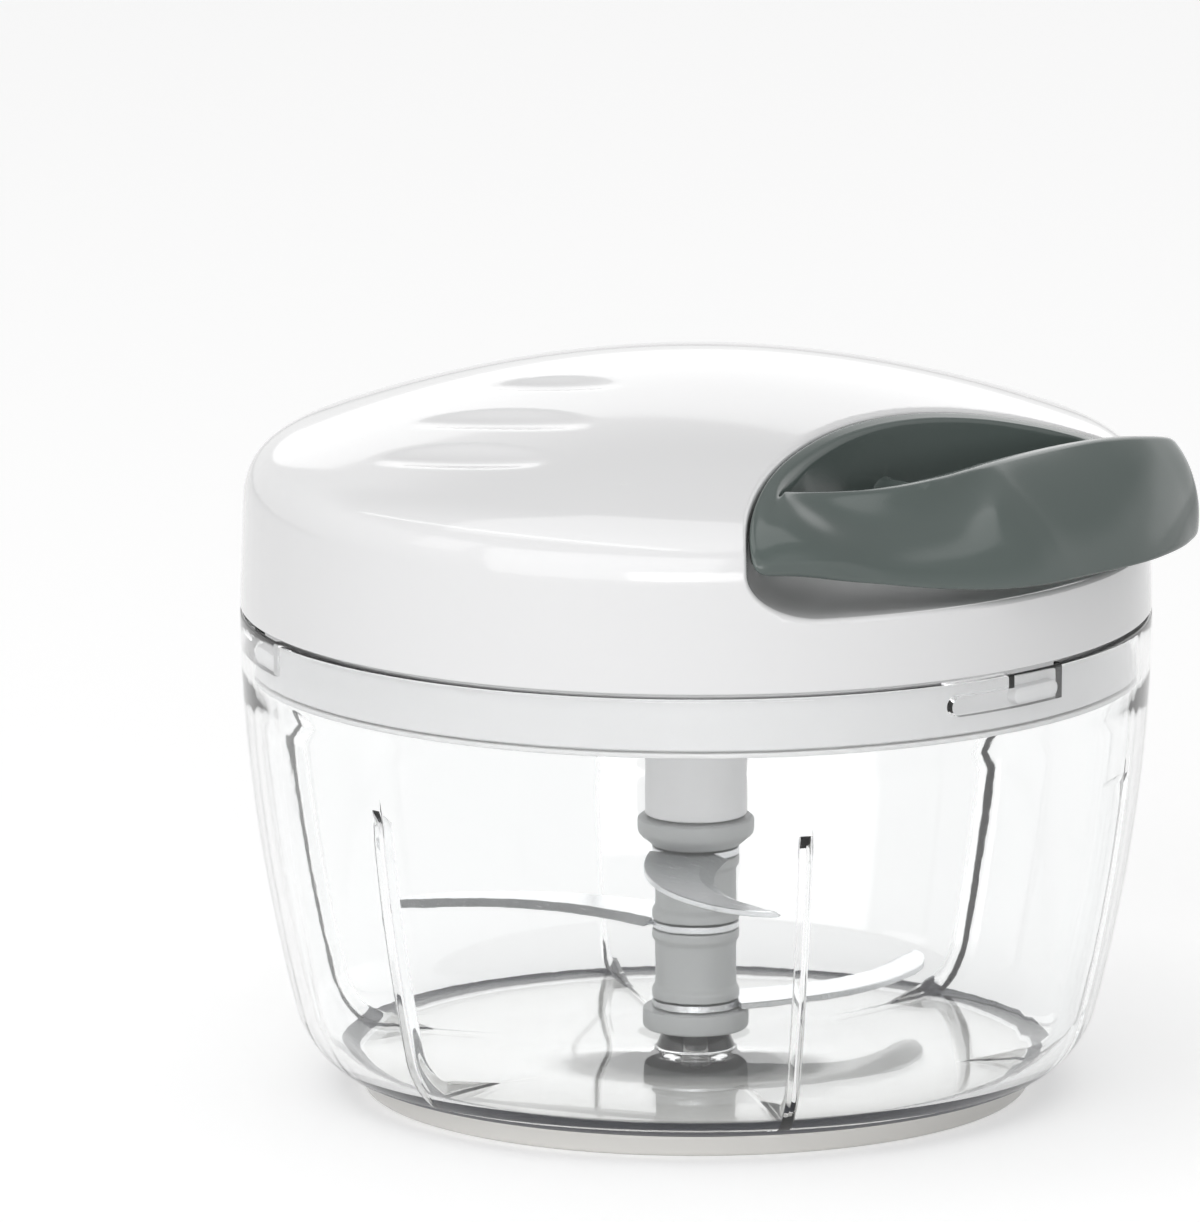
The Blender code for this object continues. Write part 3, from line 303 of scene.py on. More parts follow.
def objectPlace(tree, **stretch):
    # where a point lies in the piece, in metres, or in the piece stretched and turned
    place = put(tree, "TexCoord").outputs["Object"]
    if not stretch:
        return place
    return put(tree, "Mapping", {"Vector": place, **stretch}).outputs[0]


def scaledColor(tree, color, factor):
    made = put(tree, "VectorMath", {0: color, "Scale": factor}, operation="SCALE")
    return made.outputs["Vector"]


def newGroup(name, inputs, outputs):
    # an input is a colour where its value has four numbers; an output by its label
    group = bpy.data.node_groups.new(name, "ShaderNodeTree")
    kinds = {True: "NodeSocketColor", False: "NodeSocketFloat"}
    for label, value in inputs.items():
        kind = kinds[isinstance(value, tuple)]
        socket = group.interface.new_socket(label, in_out="INPUT", socket_type=kind)
        socket.default_value = value
    for label in outputs:
        kind = kinds[label == "Color"]
        group.interface.new_socket(label, in_out="OUTPUT", socket_type=kind)
    start = group.nodes.new("NodeGroupInput")
    end = group.nodes.new("NodeGroupOutput")
    return group, start.outputs, end.inputs


def placeGroup(tree, group, values):
    return put(tree, "Group", values, node_tree=group).outputs


def newMaterial(name):
    material = bpy.data.materials.new(name)
    material.use_nodes = True
    tree = material.node_tree
    return material, tree, tree.nodes["Principled BSDF"]


def showShader(tree, shader):
    tree.links.new(shader.outputs[0], tree.nodes["Material Output"].inputs["Surface"])


print("making the shared finishes")
# moulded plastic: a slow drift of tone and gloss and a fine spark-eroded grain
mouldedSkin, given, wanted = newGroup(
    "mouldedSkin",
    {
        "Color": (0.8, 0.8, 0.8, 1),
        "Tone": 0.02,
        "Tone Scale": 30.0,
        "Gloss": 0.2,
        "Gloss Change": 0.03,
        "Grain": 0.2,
        "Grain Scale": 2500.0,
    },
    ["Color", "Roughness", "Height"],
)
tree = mouldedSkin
place = objectPlace(tree)
drift = maths(tree, "SUBTRACT", noise(tree, place, given["Tone Scale"], 3.0), 0.5)
toneShift = maths(tree, "MULTIPLY_ADD", drift, given["Tone"], 1.0)
glossShift = maths(tree, "MULTIPLY_ADD", drift, given["Gloss Change"], given["Gloss"])
grain = maths(tree, "MULTIPLY", noise(tree, place, given["Grain Scale"], 2.0), given["Grain"])
shade = scaledColor(tree, given["Color"], toneShift)
feed(tree, wanted, {"Color": shade, "Roughness": glossShift, "Height": grain})

# painted highlight on edges: lighter where the surface bends sharply, broken up by noise
paintedEdgeHighlight, given, wanted = newGroup("paintedEdgeHighlight", {"Amount": 0.3, "Break Scale": 400.0}, ["Mask"])
tree = paintedEdgeHighlight
sharpBend = mapped(tree, put(tree, "NewGeometry").outputs["Pointiness"], 0.51, 0.60)
patches = mapped(tree, noise(tree, objectPlace(tree), given["Break Scale"], 4.0), 0.35, 0.65)
both = maths(tree, "MULTIPLY", sharpBend, patches)
feed(tree, wanted, {"Mask": maths(tree, "MULTIPLY", both, given["Amount"], clamp=True)})

# faint wipe marks and dust, for the roughness of glossy faces
wipeMarks, given, wanted = newGroup("wipeMarks", {"Amount": 0.05, "Scale": 60.0}, ["Mask"])
tree = wipeMarks
place = objectPlace(tree, Scale=(1.0, 1.0, 3.0), Rotation=(0.4, 0.2, 0.6))
smear = mapped(tree, noise(tree, place, given["Scale"], 5.0, 0.8), 0.5, 0.8)
feed(tree, wanted, {"Mask": maths(tree, "MULTIPLY", smear, given["Amount"])})

# ground steel: fine streaks along the piece
brushedSteel, given, wanted = newGroup(
    "brushedSteel",
    {"Color": (0.7, 0.7, 0.7, 1), "Streak Scale": 300.0, "Streak Depth": 0.3, "Gloss": 0.25},
    ["Color", "Roughness", "Height"],
)
tree = brushedSteel
streaks = noise(tree, objectPlace(tree, Scale=(1.0, 14.0, 14.0)), given["Streak Scale"], 6.0)
drift = maths(tree, "SUBTRACT", streaks, 0.5)
shade = scaledColor(tree, given["Color"], maths(tree, "MULTIPLY_ADD", drift, 0.25, 1.0))
rough = maths(tree, "MULTIPLY_ADD", drift, 0.2, given["Gloss"])
depth = maths(tree, "MULTIPLY", streaks, given["Streak Depth"])
feed(tree, wanted, {"Color": shade, "Roughness": rough, "Height": depth})

# braided nylon: two sets of strands crossing, drawn from the cord's own length and turn, with
# painted shade in the grooves between the strands
cordBraid, given, wanted = newGroup(
    "cordBraid", {"Color": (0.8, 0.8, 0.78, 1), "Strands": 4.0, "Depth": 1.0}, ["Color", "Height"]
)
tree = cordBraid
laid = put(tree, "SeparateXYZ", {0: put(tree, "UVMap", uv_map="cordRun").outputs["UV"]}).outputs
waves = []
for side in (1.0, -1.0):
    leaning = maths(tree, "MULTIPLY_ADD", laid["Y"], side, laid["X"])
    full = maths(tree, "MULTIPLY", maths(tree, "MULTIPLY", leaning, given["Strands"]), math.tau)
    waves.append(maths(tree, "SINE", full))
crossed = maths(tree, "MAXIMUM", *waves)
# painted shade: darker where the braid's height is low
shade = scaledColor(tree, given["Color"], mapped(tree, crossed, -1.0, 1.0, 0.72))
feed(tree, wanted, {"Color": shade, "Height": maths(tree, "MULTIPLY", crossed, given["Depth"])})


def bumpInto(tree, shader, height, distance):
    bump = put(tree, "Bump", {"Height": height, "Distance": distance})
    feed(tree, shader.inputs, {"Normal": bump.outputs["Normal"]})


def mouldedSurface(tree, shader, look):
    # gives the shader the skin's gloss, wipe marks and grain, and hands back its colour
    labels = {
        "Tone": "tone",
        "Tone Scale": "toneScale",
        "Gloss": "gloss",
        "Gloss Change": "glossChange",
        "Grain": "grain",
        "Grain Scale": "grainScale",
    }
    values = {label: look[key] for label, key in labels.items()}
    skinOut = placeGroup(tree, mouldedSkin, {"Color": (*look["color"], 1), **values})
    marks = placeGroup(tree, wipeMarks, {"Amount": look["marks"]})["Mask"]
    rough = maths(tree, "ADD", skinOut["Roughness"], marks, clamp=True)
    feed(tree, shader.inputs, {"Roughness": rough, "IOR": look["ior"]})
    bumpInto(tree, shader, skinOut["Height"], look["grainDepth"])
    return skinOut["Color"]


def mouldedMaterial(name, look):
    material, tree, shader = newMaterial(name)
    color = mouldedSurface(tree, shader, look)
    # painted highlight: sharp edges mix towards the edge colour, which only the handle sets
    # lighter than its own
    edgeLight = placeGroup(tree, paintedEdgeHighlight, {"Amount": look["edgeLight"]})["Mask"]
    edgeLightTone = (*look.get("edgeLightColor", look["color"]), 1)
    edgeLit = put(tree, "Mix", {"Factor": edgeLight, "A": color, "B": edgeLightTone}, data_type="RGBA")
    coat = {"Coat Weight": look["coat"], "Coat Roughness": look["coatGloss"]}
    feed(tree, shader.inputs, {"Base Color": edgeLit.outputs["Result"], **coat})
    return material


def clearMaterial(name, look):
    material, tree, shader = newMaterial(name)
    mouldedSurface(tree, shader, look)
    feed(tree, shader.inputs, {"Base Color": (*look["color"], 1), "Transmission Weight": 1.0})
    # lamps shine through it
    through = put(tree, "BsdfTransparent", {"Color": (*look["shadow"], 1)})
    shadow = put(tree, "LightPath").outputs["Is Shadow Ray"]
    ways = {0: shadow, 1: shader.outputs[0], 2: through.outputs[0]}
    showShader(tree, put(tree, "MixShader", ways))
    return material


def steelMaterial(name, look):
    material, tree, shader = newMaterial(name)
    labels = {"Streak Scale": "streakScale", "Streak Depth": "streakDepth", "Gloss": "gloss"}
    values = {label: look[key] for label, key in labels.items()}
    ground = placeGroup(tree, brushedSteel, {"Color": (*look["color"], 1), **values})
    surface = {"Base Color": ground["Color"], "Roughness": ground["Roughness"]}
    feed(tree, shader.inputs, {"Metallic": 1.0, **surface})
    bumpInto(tree, shader, ground["Height"], look["bump"])
    return material


def cordMaterial(name, look):
    material, tree, shader = newMaterial(name)
    braid = placeGroup(tree, cordBraid, {"Color": (*look["color"], 1), "Strands": look["strands"]})
    plain = {"Roughness": look["gloss"], "Sheen Weight": look["sheen"]}
    feed(tree, shader.inputs, {"Base Color": braid["Color"], **plain})
    bumpInto(tree, shader, braid["Height"], look["bump"])
    return material


# what a moulded finish has where its own look doesn't say
plainPlastic = {
    "tone": 0.03,
    "toneScale": 30.0,
    "glossChange": 0.05,
    "grain": 0.3,
    "grainScale": 2500.0,
    "grainDepth": 0.00003,
    "edgeLight": 0.2,
    "marks": 0.03,
    "ior": 1.5,
    "coat": 0.0,
    "coatGloss": 0.05,
}
looks = {
    "coverWhite": {
        "color": (0.86, 0.86, 0.865),
        "gloss": 0.10,
        "tone": 0.01,
        "grain": 0.1,
        "coat": 0.4,
    },
    "lidGrey": {"color": (0.70, 0.70, 0.705), "gloss": 0.34, "grain": 0.5, "edgeLight": 0.15},
    "hubGrey": {"color": (0.40, 0.41, 0.41), "gloss": 0.38, "tone": 0.04, "grain": 0.6},
    "handleGrey": {
        "color": (0.105, 0.130, 0.122),
        "gloss": 0.16,
        "tone": 0.05,
        # painted highlight: the handle's sharp edges are lightened towards this colour
        "grain": 0.35,
        "edgeLight": 0.25,
        "edgeLightColor": (0.24, 0.27, 0.26),
        "marks": 0.05,
    },
    "baseCream": {"color": (0.90, 0.885, 0.85), "gloss": 0.18, "grain": 0.5, "marks": 0.06},
    # painted shade: a near-black navy for the bowl's foot edge, where refraction shows a dark line
    "footShadeNavy": {"color": (0.012, 0.015, 0.03), "gloss": 0.35, "tone": 0.05, "grain": 0.5},
    "sealSilicone": {"color": (0.70, 0.70, 0.70), "gloss": 0.45, "tone": 0.04, "grain": 0.6},
    "drumPlastic": {"color": (0.74, 0.74, 0.71), "gloss": 0.40, "tone": 0.04, "grain": 0.5},
}
clearLook = {
    "color": (0.985, 0.99, 0.99),
    "shadow": (0.9, 0.9, 0.9),
    "tone": 0.02,
    "toneScale": 25.0,
    "gloss": 0.02,
    "glossChange": 0.02,
    "grain": 0.2,
    "grainScale": 260.0,
    "grainDepth": 0.00002,
    "marks": 0.02,
    "ior": 1.5,
}
# steel: colour, size and depth of the streaks, gloss and bump
steels = {
    "bladeSteel": ((0.68, 0.69, 0.70), 180.0, 0.5, 0.24, 0.00002),
    "pinSteel": ((0.72, 0.72, 0.73), 500.0, 0.2, 0.18, 0.00002),
    "springSteel": ((0.36, 0.37, 0.40), 400.0, 0.4, 0.32, 0.00002),
}
cordLook = {"color": (0.78, 0.78, 0.75), "strands": 4.0, "gloss": 0.7, "sheen": 0.3}
cordLook["bump"] = 0.00008

paint = {name: mouldedMaterial(name, {**plainPlastic, **look}) for name, look in looks.items()}
paint["clear"] = clearMaterial("clearPlastic", clearLook)
for name, look in steels.items():
    keys = ("color", "streakScale", "streakDepth", "gloss", "bump")
    paint[name] = steelMaterial(name, dict(zip(keys, look)))
paint["cord"] = cordMaterial("cordNylon", cordLook)

print("shaping the bowl")
bowl = {
    "footZ": 3.7,
    "belly": 11.3,
    "bellyPower": 1.9,
    "heelTurn": 7.1,
    "heelHeight": 10.0,
    "wall": 2.4,
    "wallTop": 67.0,  # the inner face is plain above it
    "floorZ": 6.1,
    "ribs": 6,
    "ribAngle": 26.0,
    "ribRadius": 65,
    "ribWidth": 2.2,
    "ribDepth": 2.6,
    "ribTop": 55.0,
    "ribFade": 3,
    "footShadeBand": 1.3,  # painted shade: a dark ring on the bowl's foot, for the dark line that refraction shows between the foot and the pad
    "footShadeInside": 49.0,
    "slotLow": 72.35,
    "slotHigh": 75.65,
    "slotDepth": 1.5,
    "slotTwist": 10.0,
}
lugAngles = [360 * index / lug["count"] for index in range(lug["count"])]
slotHalf = math.degrees((lug["length"] / 2 + 0.6) / skirt["radius"])
slotSide = math.degrees(0.2 / rim["bore"])  # half the width of a slot's steep side


def bowlRadius(z):
    climb = (z - bowl["footZ"]) / (rim["z"] - bowl["footZ"])
    belly = bowl["belly"] * max(0.0, 1 - climb) ** bowl["bellyPower"]
    turn = max(0.0, 1 - (z - bowl["footZ"]) / bowl["heelHeight"])
    return rim["radius"] - belly - bowl["heelTurn"] * (1 - math.sqrt(1 - turn**2))


def bowlLine(span, steps, power):
    heights = [bowl["footZ"] + span * (i / steps) ** power for i in range(steps + 1)]
    return [(bowlRadius(z), z) for z in heights]


def offAngle(angle, middle):
    # how far an angle lies from a middle one, from -180 to 180 degrees
    return (angle - middle + 180) % 360 - 180


def bowlColumns():
    # angles round the bowl, closer together at the ribs and at the slots' sides
    fine = []
    for index in range(bowl["ribs"]):
        middle = bowl["ribAngle"] + 360 * index / bowl["ribs"]
        fine.append(middle)
        for across in (1.6, 1.3, 1.1, 0.98, 0.86, 0.72, 0.58, 0.44, 0.25):
            turn = math.degrees(across / bowl["ribRadius"])
            fine += [middle - turn, middle + turn]
    for middle in lugAngles:
        for edge in (-slotHalf - bowl["slotTwist"], -slotHalf, slotHalf):
            fine += [middle + edge + off for off in (-slotSide, slotSide, -0.5, 0.5, 1.2)]
    fine = sorted(angle % 360 for angle in fine)
    even = [2.0 * i for i in range(180)]
    return sorted(fine + [a for a in even if min(abs(offAngle(a, f)) for f in fine) > 0.45])


def slotShift(angle, z):
    for middle in lugAngles:
        off = offAngle(angle, middle)
        if z < bowl["slotLow"] or abs(off) > 30:
            continue
        if abs(off) <= slotHalf:
            return bowl["slotDepth"]
        if z <= bowl["slotHigh"] and -slotHalf - bowl["slotTwist"] <= off < 0:
            return bowl["slotDepth"]
    return 0.0


def slotLean(angle, z):
    # moves the columns at a slot's closed end so that it is round
    radius = (bowl["slotHigh"] - bowl["slotLow"]) / 2
    up = abs(z - (bowl["slotHigh"] + bowl["slotLow"]) / 2)
    bend = radius - math.sqrt(max(radius**2 - up**2, 0.0)) if up < radius else radius
    bend *= 1 - smoothStep(radius, radius + 1.5, up)
    for middle in lugAngles:
        reach = abs(offAngle(angle, middle) + slotHalf + bowl["slotTwist"])
        if reach < 4:
            return math.degrees(bend / rim["bore"]) * (1 - max(reach - 0.1, 0) / 3.9)
    return 0.0


def ribRise(angle, z):
    turn = (angle - bowl["ribAngle"]) % (360 / bowl["ribs"])
    turn = min(turn, 360 / bowl["ribs"] - turn)
    across = math.radians(turn) * bowl["ribRadius"]
    side = 1 - smoothStep(0.4, bowl["ribWidth"] / 2, across)
    fade = min(max((z - bowl["ribTop"] + bowl["ribFade"]) / bowl["ribFade"], 0.0), 1.0)
    return bowl["ribDepth"] * side * math.sqrt(1 - fade**2)


def bowlPlace(angle, radius, z, kind="plain", outR=0, outZ=0):
    if kind == "slot":
        radius += slotShift(angle, z)
        angle += slotLean(angle, z)
    elif kind == "rib":
        rise = ribRise(angle, z)
        radius, z = radius + outR * rise, z + outZ * rise
    return onCircle(math.radians(angle), radius, z)


def bowlMesh():
    # up the outside, over the rim, down past the slots and the ribs, and in to the pin's boss
    foot, top, bore = bowl["footZ"], rim["z"], rim["bore"]
    high, low = bowl["slotHigh"], bowl["slotLow"]
    profile = [(0, foot), (30, foot)] + bowlLine(top - foot, 54, 2.2)[:-1]
    lip = [(rim["radius"], top - 1.3), (rim["radius"], top, 0.5), (rim["radius"] - 2, top)]
    profile += [spot for spot in softCorners(lip, 4)[1:-1] if spot.x > 72.35]
    profile += [(bore + 0.25, top, "slot"), (bore + 0.07, top - 0.07, "slot")]
    levels = [top - 0.25, 76.8, high + 0.02, high - 0.02]
    levels += [high + (low - high) * i / 8 for i in range(1, 8)]
    levels += [low + 0.02, low - 0.02, 71.2, 69.5, 67.8]
    profile += [(bore, z, "slot") for z in levels]
    inner = bowlLine(62, 44, 2)
    for (r, z), (offR, offZ) in reversed(list(zip(inner, lineOffset(inner, 1)))):
        outR, outZ = offR - r, offZ - z
        height = z + outZ * bowl["wall"]
        if height < bowl["wallTop"]:
            profile.append((min(r + outR * bowl["wall"], bore), height, "rib", outR, outZ))
    floor = bowl["floorZ"]
    boss = [(30, floor), (6.4, floor, 0.6), (5.2, 9.1, 0.4), (2.3, 9.1, 0.2), (2.3, 4.9), (0, 4.9)]
    profile += [(44, floor)] + softCorners(boss)
    bm, rows = turnedRows(profile, bowlColumns(), bowlPlace)
    skin(bm, rows)
    return bm


clearBowl = finishPiece(
    "bowlClear", bowlMesh(), paint["clear"], "bowl", ["bowl"], sharp=38
)
# painted shade: the foot faces near the bowl's edge take the dark navy, for the dark line that
# refraction shows there
clearBowl.data.materials.append(paint["footShadeNavy"])
for face in clearBowl.data.polygons:
    middle = face.center / mm
    atFoot = middle.z < bowl["footZ"] + bowl["footShadeBand"]
    if atFoot and math.hypot(middle.x, middle.y) > bowl["footShadeInside"]:
        face.material_index = 1


def turnedPiece(name, outline, finish, body, node, steps=72, corner=3, make=revolved):
    bm = make(softCorners(outline, corner), steps)
    finishPiece(name, bm, paint[finish], body, [node])


print("shaping the base and the blade unit")
base = {"radius": 53.2, "flare": 0.8, "height": 3.4, "groove": 1.6, "depth": 0.8, "edge": 0.9}
outline = [(0, 0)]
for ring in (base["radius"] * 0.7, base["radius"] * 0.85):
    end = ring + base["groove"]
    outline += [(ring, 0, 0.3), (ring, base["depth"], 0.3)]
    outline += [(end, base["depth"], 0.3), (end, 0, 0.3)]
outline += [
    (base["radius"], 0, base["edge"]),
    (base["radius"] + base["flare"], base["height"], base["edge"] * 0.6),
    (0, base["height"]),
]
turnedPiece(
    "basePad", outline, "baseCream", "bowl", "anti_slip_base", steps=160, corner=5
)

pin = {"radius": 2.0, "low": 5.2, "length": 25.0}
low, high = pin["low"], pin["low"] + pin["length"]
outline = [(0, low), (pin["radius"], low, 0.2), (pin["radius"], high, 0.8), (0, high)]
turnedPiece("bladePin", outline, "pinSteel", "bowl", "blade_pin", steps=48, corner=5)

stem = {
    "bore": 2.3,
    "foot": 9.4,
    "flange": 8.5,
    "flangeHeight": 3.4,
    "radius": 3.9,
    "top": 42.8,
    "boreTop": 30.5,
}
footTop = stem["foot"] + stem["flangeHeight"]
outline = [
    (stem["bore"], stem["foot"], 0.2),
    (stem["flange"], stem["foot"], 0.8),
    (stem["flange"], footTop, 0.5),
    (stem["radius"], footTop),
    (stem["radius"], stem["top"], 0.2),
    (0, stem["top"]),
    (0, stem["boreTop"]),
    (stem["bore"], stem["boreTop"]),
]
turnedPiece("bladeStem", outline, "hubGrey", "blades", "blade_stem")

column = {"inner": 4.2, "outer": 7.0, "waist": 0.5, "spans": ((14.4, 25.7), (27.3, 37.7))}
for number, (low, high) in enumerate(column["spans"], 1):
    inner, outer, waist = column["inner"], column["outer"], column["outer"] - column["waist"]
    outline = [
        (inner, low),
        (outer, low, 0.3),
        (outer, low + 1.4, 0.3),
        (waist, low + 2.2, 0.3),
        (waist, high - 2.2, 0.3),
        (outer, high - 1.4, 0.3),
        (outer, high, 0.3),
        (inner, high),
    ]
    node = f"blade_spacer_{number}"
    turnedPiece(f"bladeSpacer{number}", outline, "hubGrey", "blades", node)

hub = {
    "radius": 9.4,
    "low": 39.3,
    "top": 44.0,
    "pocketTop": 43.1,
    "spigot": 2.6,
    "lugTop": 50.0,
    "lugReach": 5.6,
    "lugTurn": 13,
}


def sectorMesh(inner, outer, start, end, low, high):
    turns = [math.radians(start + (end - start) * i / 8) for i in range(9)]
    outline = [(turn, outer) for turn in turns] + [(turn, inner) for turn in reversed(turns)]
    return lofted([[onCircle(turn, radius, z) for turn, radius in outline] for z in (low, high)])


def hubMesh():
    outline = [
        (column["inner"], hub["low"]),
        (column["outer"], hub["low"], 0.3),
        (hub["radius"], hub["low"] + 2, 0.8),
        (hub["radius"], hub["top"], 0.8),
        (hub["spigot"], hub["top"]),
        (hub["spigot"], hub["lugTop"], 0.3),
        (0, hub["lugTop"]),
        (0, hub["pocketTop"]),
        (column["inner"], hub["pocketTop"]),
    ]
    bm = revolved(softCorners(outline), 72)
    for middle in (0, 120, 240):
        start, end = middle - hub["lugTurn"], middle + hub["lugTurn"]
        joinInto(bm, sectorMesh(1.3, hub["lugReach"], start, end, 43.2, 49.4))
    return bm


finishPiece("hubHead", hubMesh(), paint["hubGrey"], "blades", ["blade_hub_head"])

blade = {
    "reach": 50.0,
    "root": 5.6,
    "rootWidth": 13.0,
    "taper": 0.45,
    "tip": 0.86,  # the share of its length where the tip starts to round
    "sweep": 26.0,
    "thickness": 1.0,
    "bevel": 2.4,
    "edge": 0.12,
    "levels": (13.1, 26.0, 38.0),
    "firstAngle": 60.0,
}


def bladeMesh(low, high):
    # a curved wing with one ground edge, lofted outwards from the hub
    rings = []
    steps, edge = 44, blade["edge"]
    for i in range(steps + 1):
        share = (i / steps) ** 0.9
        radius = blade["root"] + (blade["reach"] - blade["root"]) * share
        width = blade["rootWidth"] / 2 * (1 - blade["taper"] * share)
        if share > blade["tip"]:
            width *= math.sqrt(max(1 - ((share - blade["tip"]) / 0.142) ** 2, 0.0))
        bevel = min(blade["bevel"], width * 0.9)
        turn = Matrix.Rotation(math.radians(blade["sweep"]) * share**1.6, 3, "Z")
        flat = [
            (-width, low + edge),
            (-width + edge, low),
            (width - 0.05, low),
            (width, low + edge),
            (width - bevel, high),
            (-width + edge, high),
            (-width, high - edge),
        ]
        rings.append([turn @ Vector((radius, across, z)) for across, z in flat])
    return lofted(rings)


def discPiece(name, radius, low, high):
    return finishPiece(name, revolved(rod(radius, low, high), 64), paint["bladeSteel"])


for index, node in enumerate(("blade_low", "blade_mid", "blade_high")):
    low, high = blade["levels"][index], blade["levels"][index] + blade["thickness"]
    wing = finishPiece(f"bladeWing{index + 1}", bladeMesh(low, high), paint["bladeSteel"])
    ring = discPiece("bladeRing", column["outer"], low, high)
    hole = discPiece("bladeHole", column["inner"], low - 1, high + 1)
    shapeWith(wing, [(ring, "UNION"), (hole, "DIFFERENCE")], sharp=14)
    turn = math.radians(blade["firstAngle"] + 120 * index)
    wing.data.transform(Matrix.Rotation(turn, 4, "Z"))
    settle(wing, "blades", [node])

print("shaping the lid base and its seal")
sleeve = {"bore": 6.3, "low": 44.3, "radius": 8.2, "shoulder": 10.6, "collar": 9.3, "top": 86.0}


def lugMesh():
    radius, straight = lug["height"] / 2, lug["length"] / 2 - lug["height"] / 2
    rings = []
    for reach, inset in ((68.5, 0), (71.25, 0), (71.55, 0.1), (71.7, 0.4), (71.7, 0.9)):
        ring = []
        for end, start in ((straight, -90), (-straight, 90)):
            for step in range(13):
                turn = math.radians(start + 15 * step)
                angle = (end + (radius - inset) * math.cos(turn)) / skirt["radius"]
                up = (radius - inset) * math.sin(turn)
                ring.append(onCircle(angle, reach, lug["z"] + up))
        rings.append(ring)
    return lofted(rings)


def lidBaseMesh():
    inner, end, plate, wall = skirt["inner"], skirt["end"], skirt["plate"], skirt["wall"]
    slotIn, slotOut = inner + wall * 0.3, inner + wall * 0.6
    outline = [
        (sleeve["bore"], sleeve["low"], 0.3),
        (sleeve["radius"], sleeve["low"], 0.5),
        (sleeve["radius"], plate - 2, 1.5),
        (sleeve["shoulder"], plate, 1.5),
        (inner - 2, plate, 1.2),
        (inner, plate - 2, 1.2),
        (inner, end, 0.2),
        (slotIn, end, 0.1),
        (slotIn, end + 2.3),
        (slotOut, end + 2.3),
        (slotOut, end, 0.1),
        (skirt["radius"], end, 0.5),
        (skirt["radius"], plate),
        (skirt["plateRadius"], plate),
        (skirt["plateRadius"], skirt["plateTop"], 0.3),
        (sleeve["collar"], skirt["plateTop"], 0.6),
        (sleeve["collar"], sleeve["top"], 0.3),
        (sleeve["bore"], sleeve["top"], 0.3),
    ]
    bm = revolved(softCorners(outline), 192)
    for index in range(lug["count"]):
        joinInto(bm, lugMesh(), Matrix.Rotation(math.tau * index / lug["count"], 4, "Z"))
    return bm


finishPiece("lidBase", lidBaseMesh(), paint["lidGrey"], "lid", ["lid_base"])
sealTop, tongueTop = skirt["end"] - gap, skirt["end"] - gap + 2
sealLow, sealOut = sealTop - 0.8, rim["bore"] - gap
tongueIn = skirt["radius"] - skirt["wall"] * 0.7 + gap / 2
tongueOut = skirt["radius"] - skirt["wall"] * 0.4 - gap / 2
outline = [
    (skirt["inner"], sealLow, 0.25),
    (sealOut, sealLow, 0.25),
    (sealOut, sealTop, 0.25),
    (tongueOut, sealTop),
    (tongueOut, tongueTop, 0.1),
    (tongueIn, tongueTop, 0.1),
    (tongueIn, sealTop),
    (skirt["inner"], sealTop, 0.25),
]
turnedPiece("lidSeal", outline, "sealSilicone", "seal", "lid_seal", steps=192)

print("shaping the cover")
cover = {
    "edgeZ": 78.6,
    "draft": 0.5,
    "turnZ": 95.0,
    "shoulderRadius": 64.0,
    "crownDrop": 12.4,
    "crownPower": 1.9,
    "wall": 2.2,
    "hollowLow": 76.6,
    "edgeRound": 0.4,
    "recessRound": 1.0,
    "lipRound": 1.4,
    "grooves": ((-10.6, -22.3, 32.0), (-6.6, -38.9, 56.0), (-2.7, -52.2, 50.0)),
    "grooveWidth": 8.0,
    "grooveDepth": 1.1,
    "grooveTurn": 12.0,
    "postRing": 52.0,
    "postLow": 81.4,
}
shoulderZ = topZ - cover["crownDrop"]


def crownHeight(radius):
    return topZ - cover["crownDrop"] * (radius / cover["shoulderRadius"]) ** cover["crownPower"]


def coverLine(shoulderSteps, crownSteps):
    # half of the cover's outline: the edge of its wall, the shoulder and the crown
    turnRadius = rim["radius"] - cover["draft"]
    slope = cover["crownDrop"] * cover["crownPower"] / cover["shoulderRadius"]
    rise, run = shoulderZ - cover["turnZ"], turnRadius - cover["shoulderRadius"]
    first = Vector((turnRadius, cover["turnZ"]))
    firstPull = first + Vector((0, rise * 0.61))
    last = Vector((cover["shoulderRadius"], shoulderZ))
    lastPull = last + Vector((run * 0.64, -run * 0.64 * slope))
    points = [(rim["radius"], cover["edgeZ"])]
    for step in range(shoulderSteps):
        points.append(tuple(curvePoint(first, firstPull, lastPull, last, step / shoulderSteps)))
    for step in range(crownSteps):
        radius = cover["shoulderRadius"] * (1 - step / crownSteps)
        points.append((radius, crownHeight(radius)))
    return points


fineLine = coverLine(20, 84)
roughLine = coverLine(14, 14)


def coverHeight(radius):
    line = fineLine + [(0, topZ)]
    for (outer, low), (inner, high) in zip(line, line[1:]):
        if inner <= radius <= outer:
            return low + (high - low) * (outer - radius) / (outer - inner)
    return rim["z"]


def depthUnder(radius, z):
    # how far a point lies inside the cover's outer surface, negative outside it
    best, inside = 1e9, True
    for (r0, z0), (r1, z1) in zip(roughLine, roughLine[1:]):
        alongR, alongZ, offR, offZ = r1 - r0, z1 - z0, radius - r0, z - z0
        share = (offR * alongR + offZ * alongZ) / (alongR**2 + alongZ**2)
        share = min(max(share, 0.0), 1.0)
        far = math.hypot(offR - alongR * share, offZ - alongZ * share)
        if far < best:
            best = far
            inside = alongR * offZ - alongZ * offR > 0
    return best if inside else -best


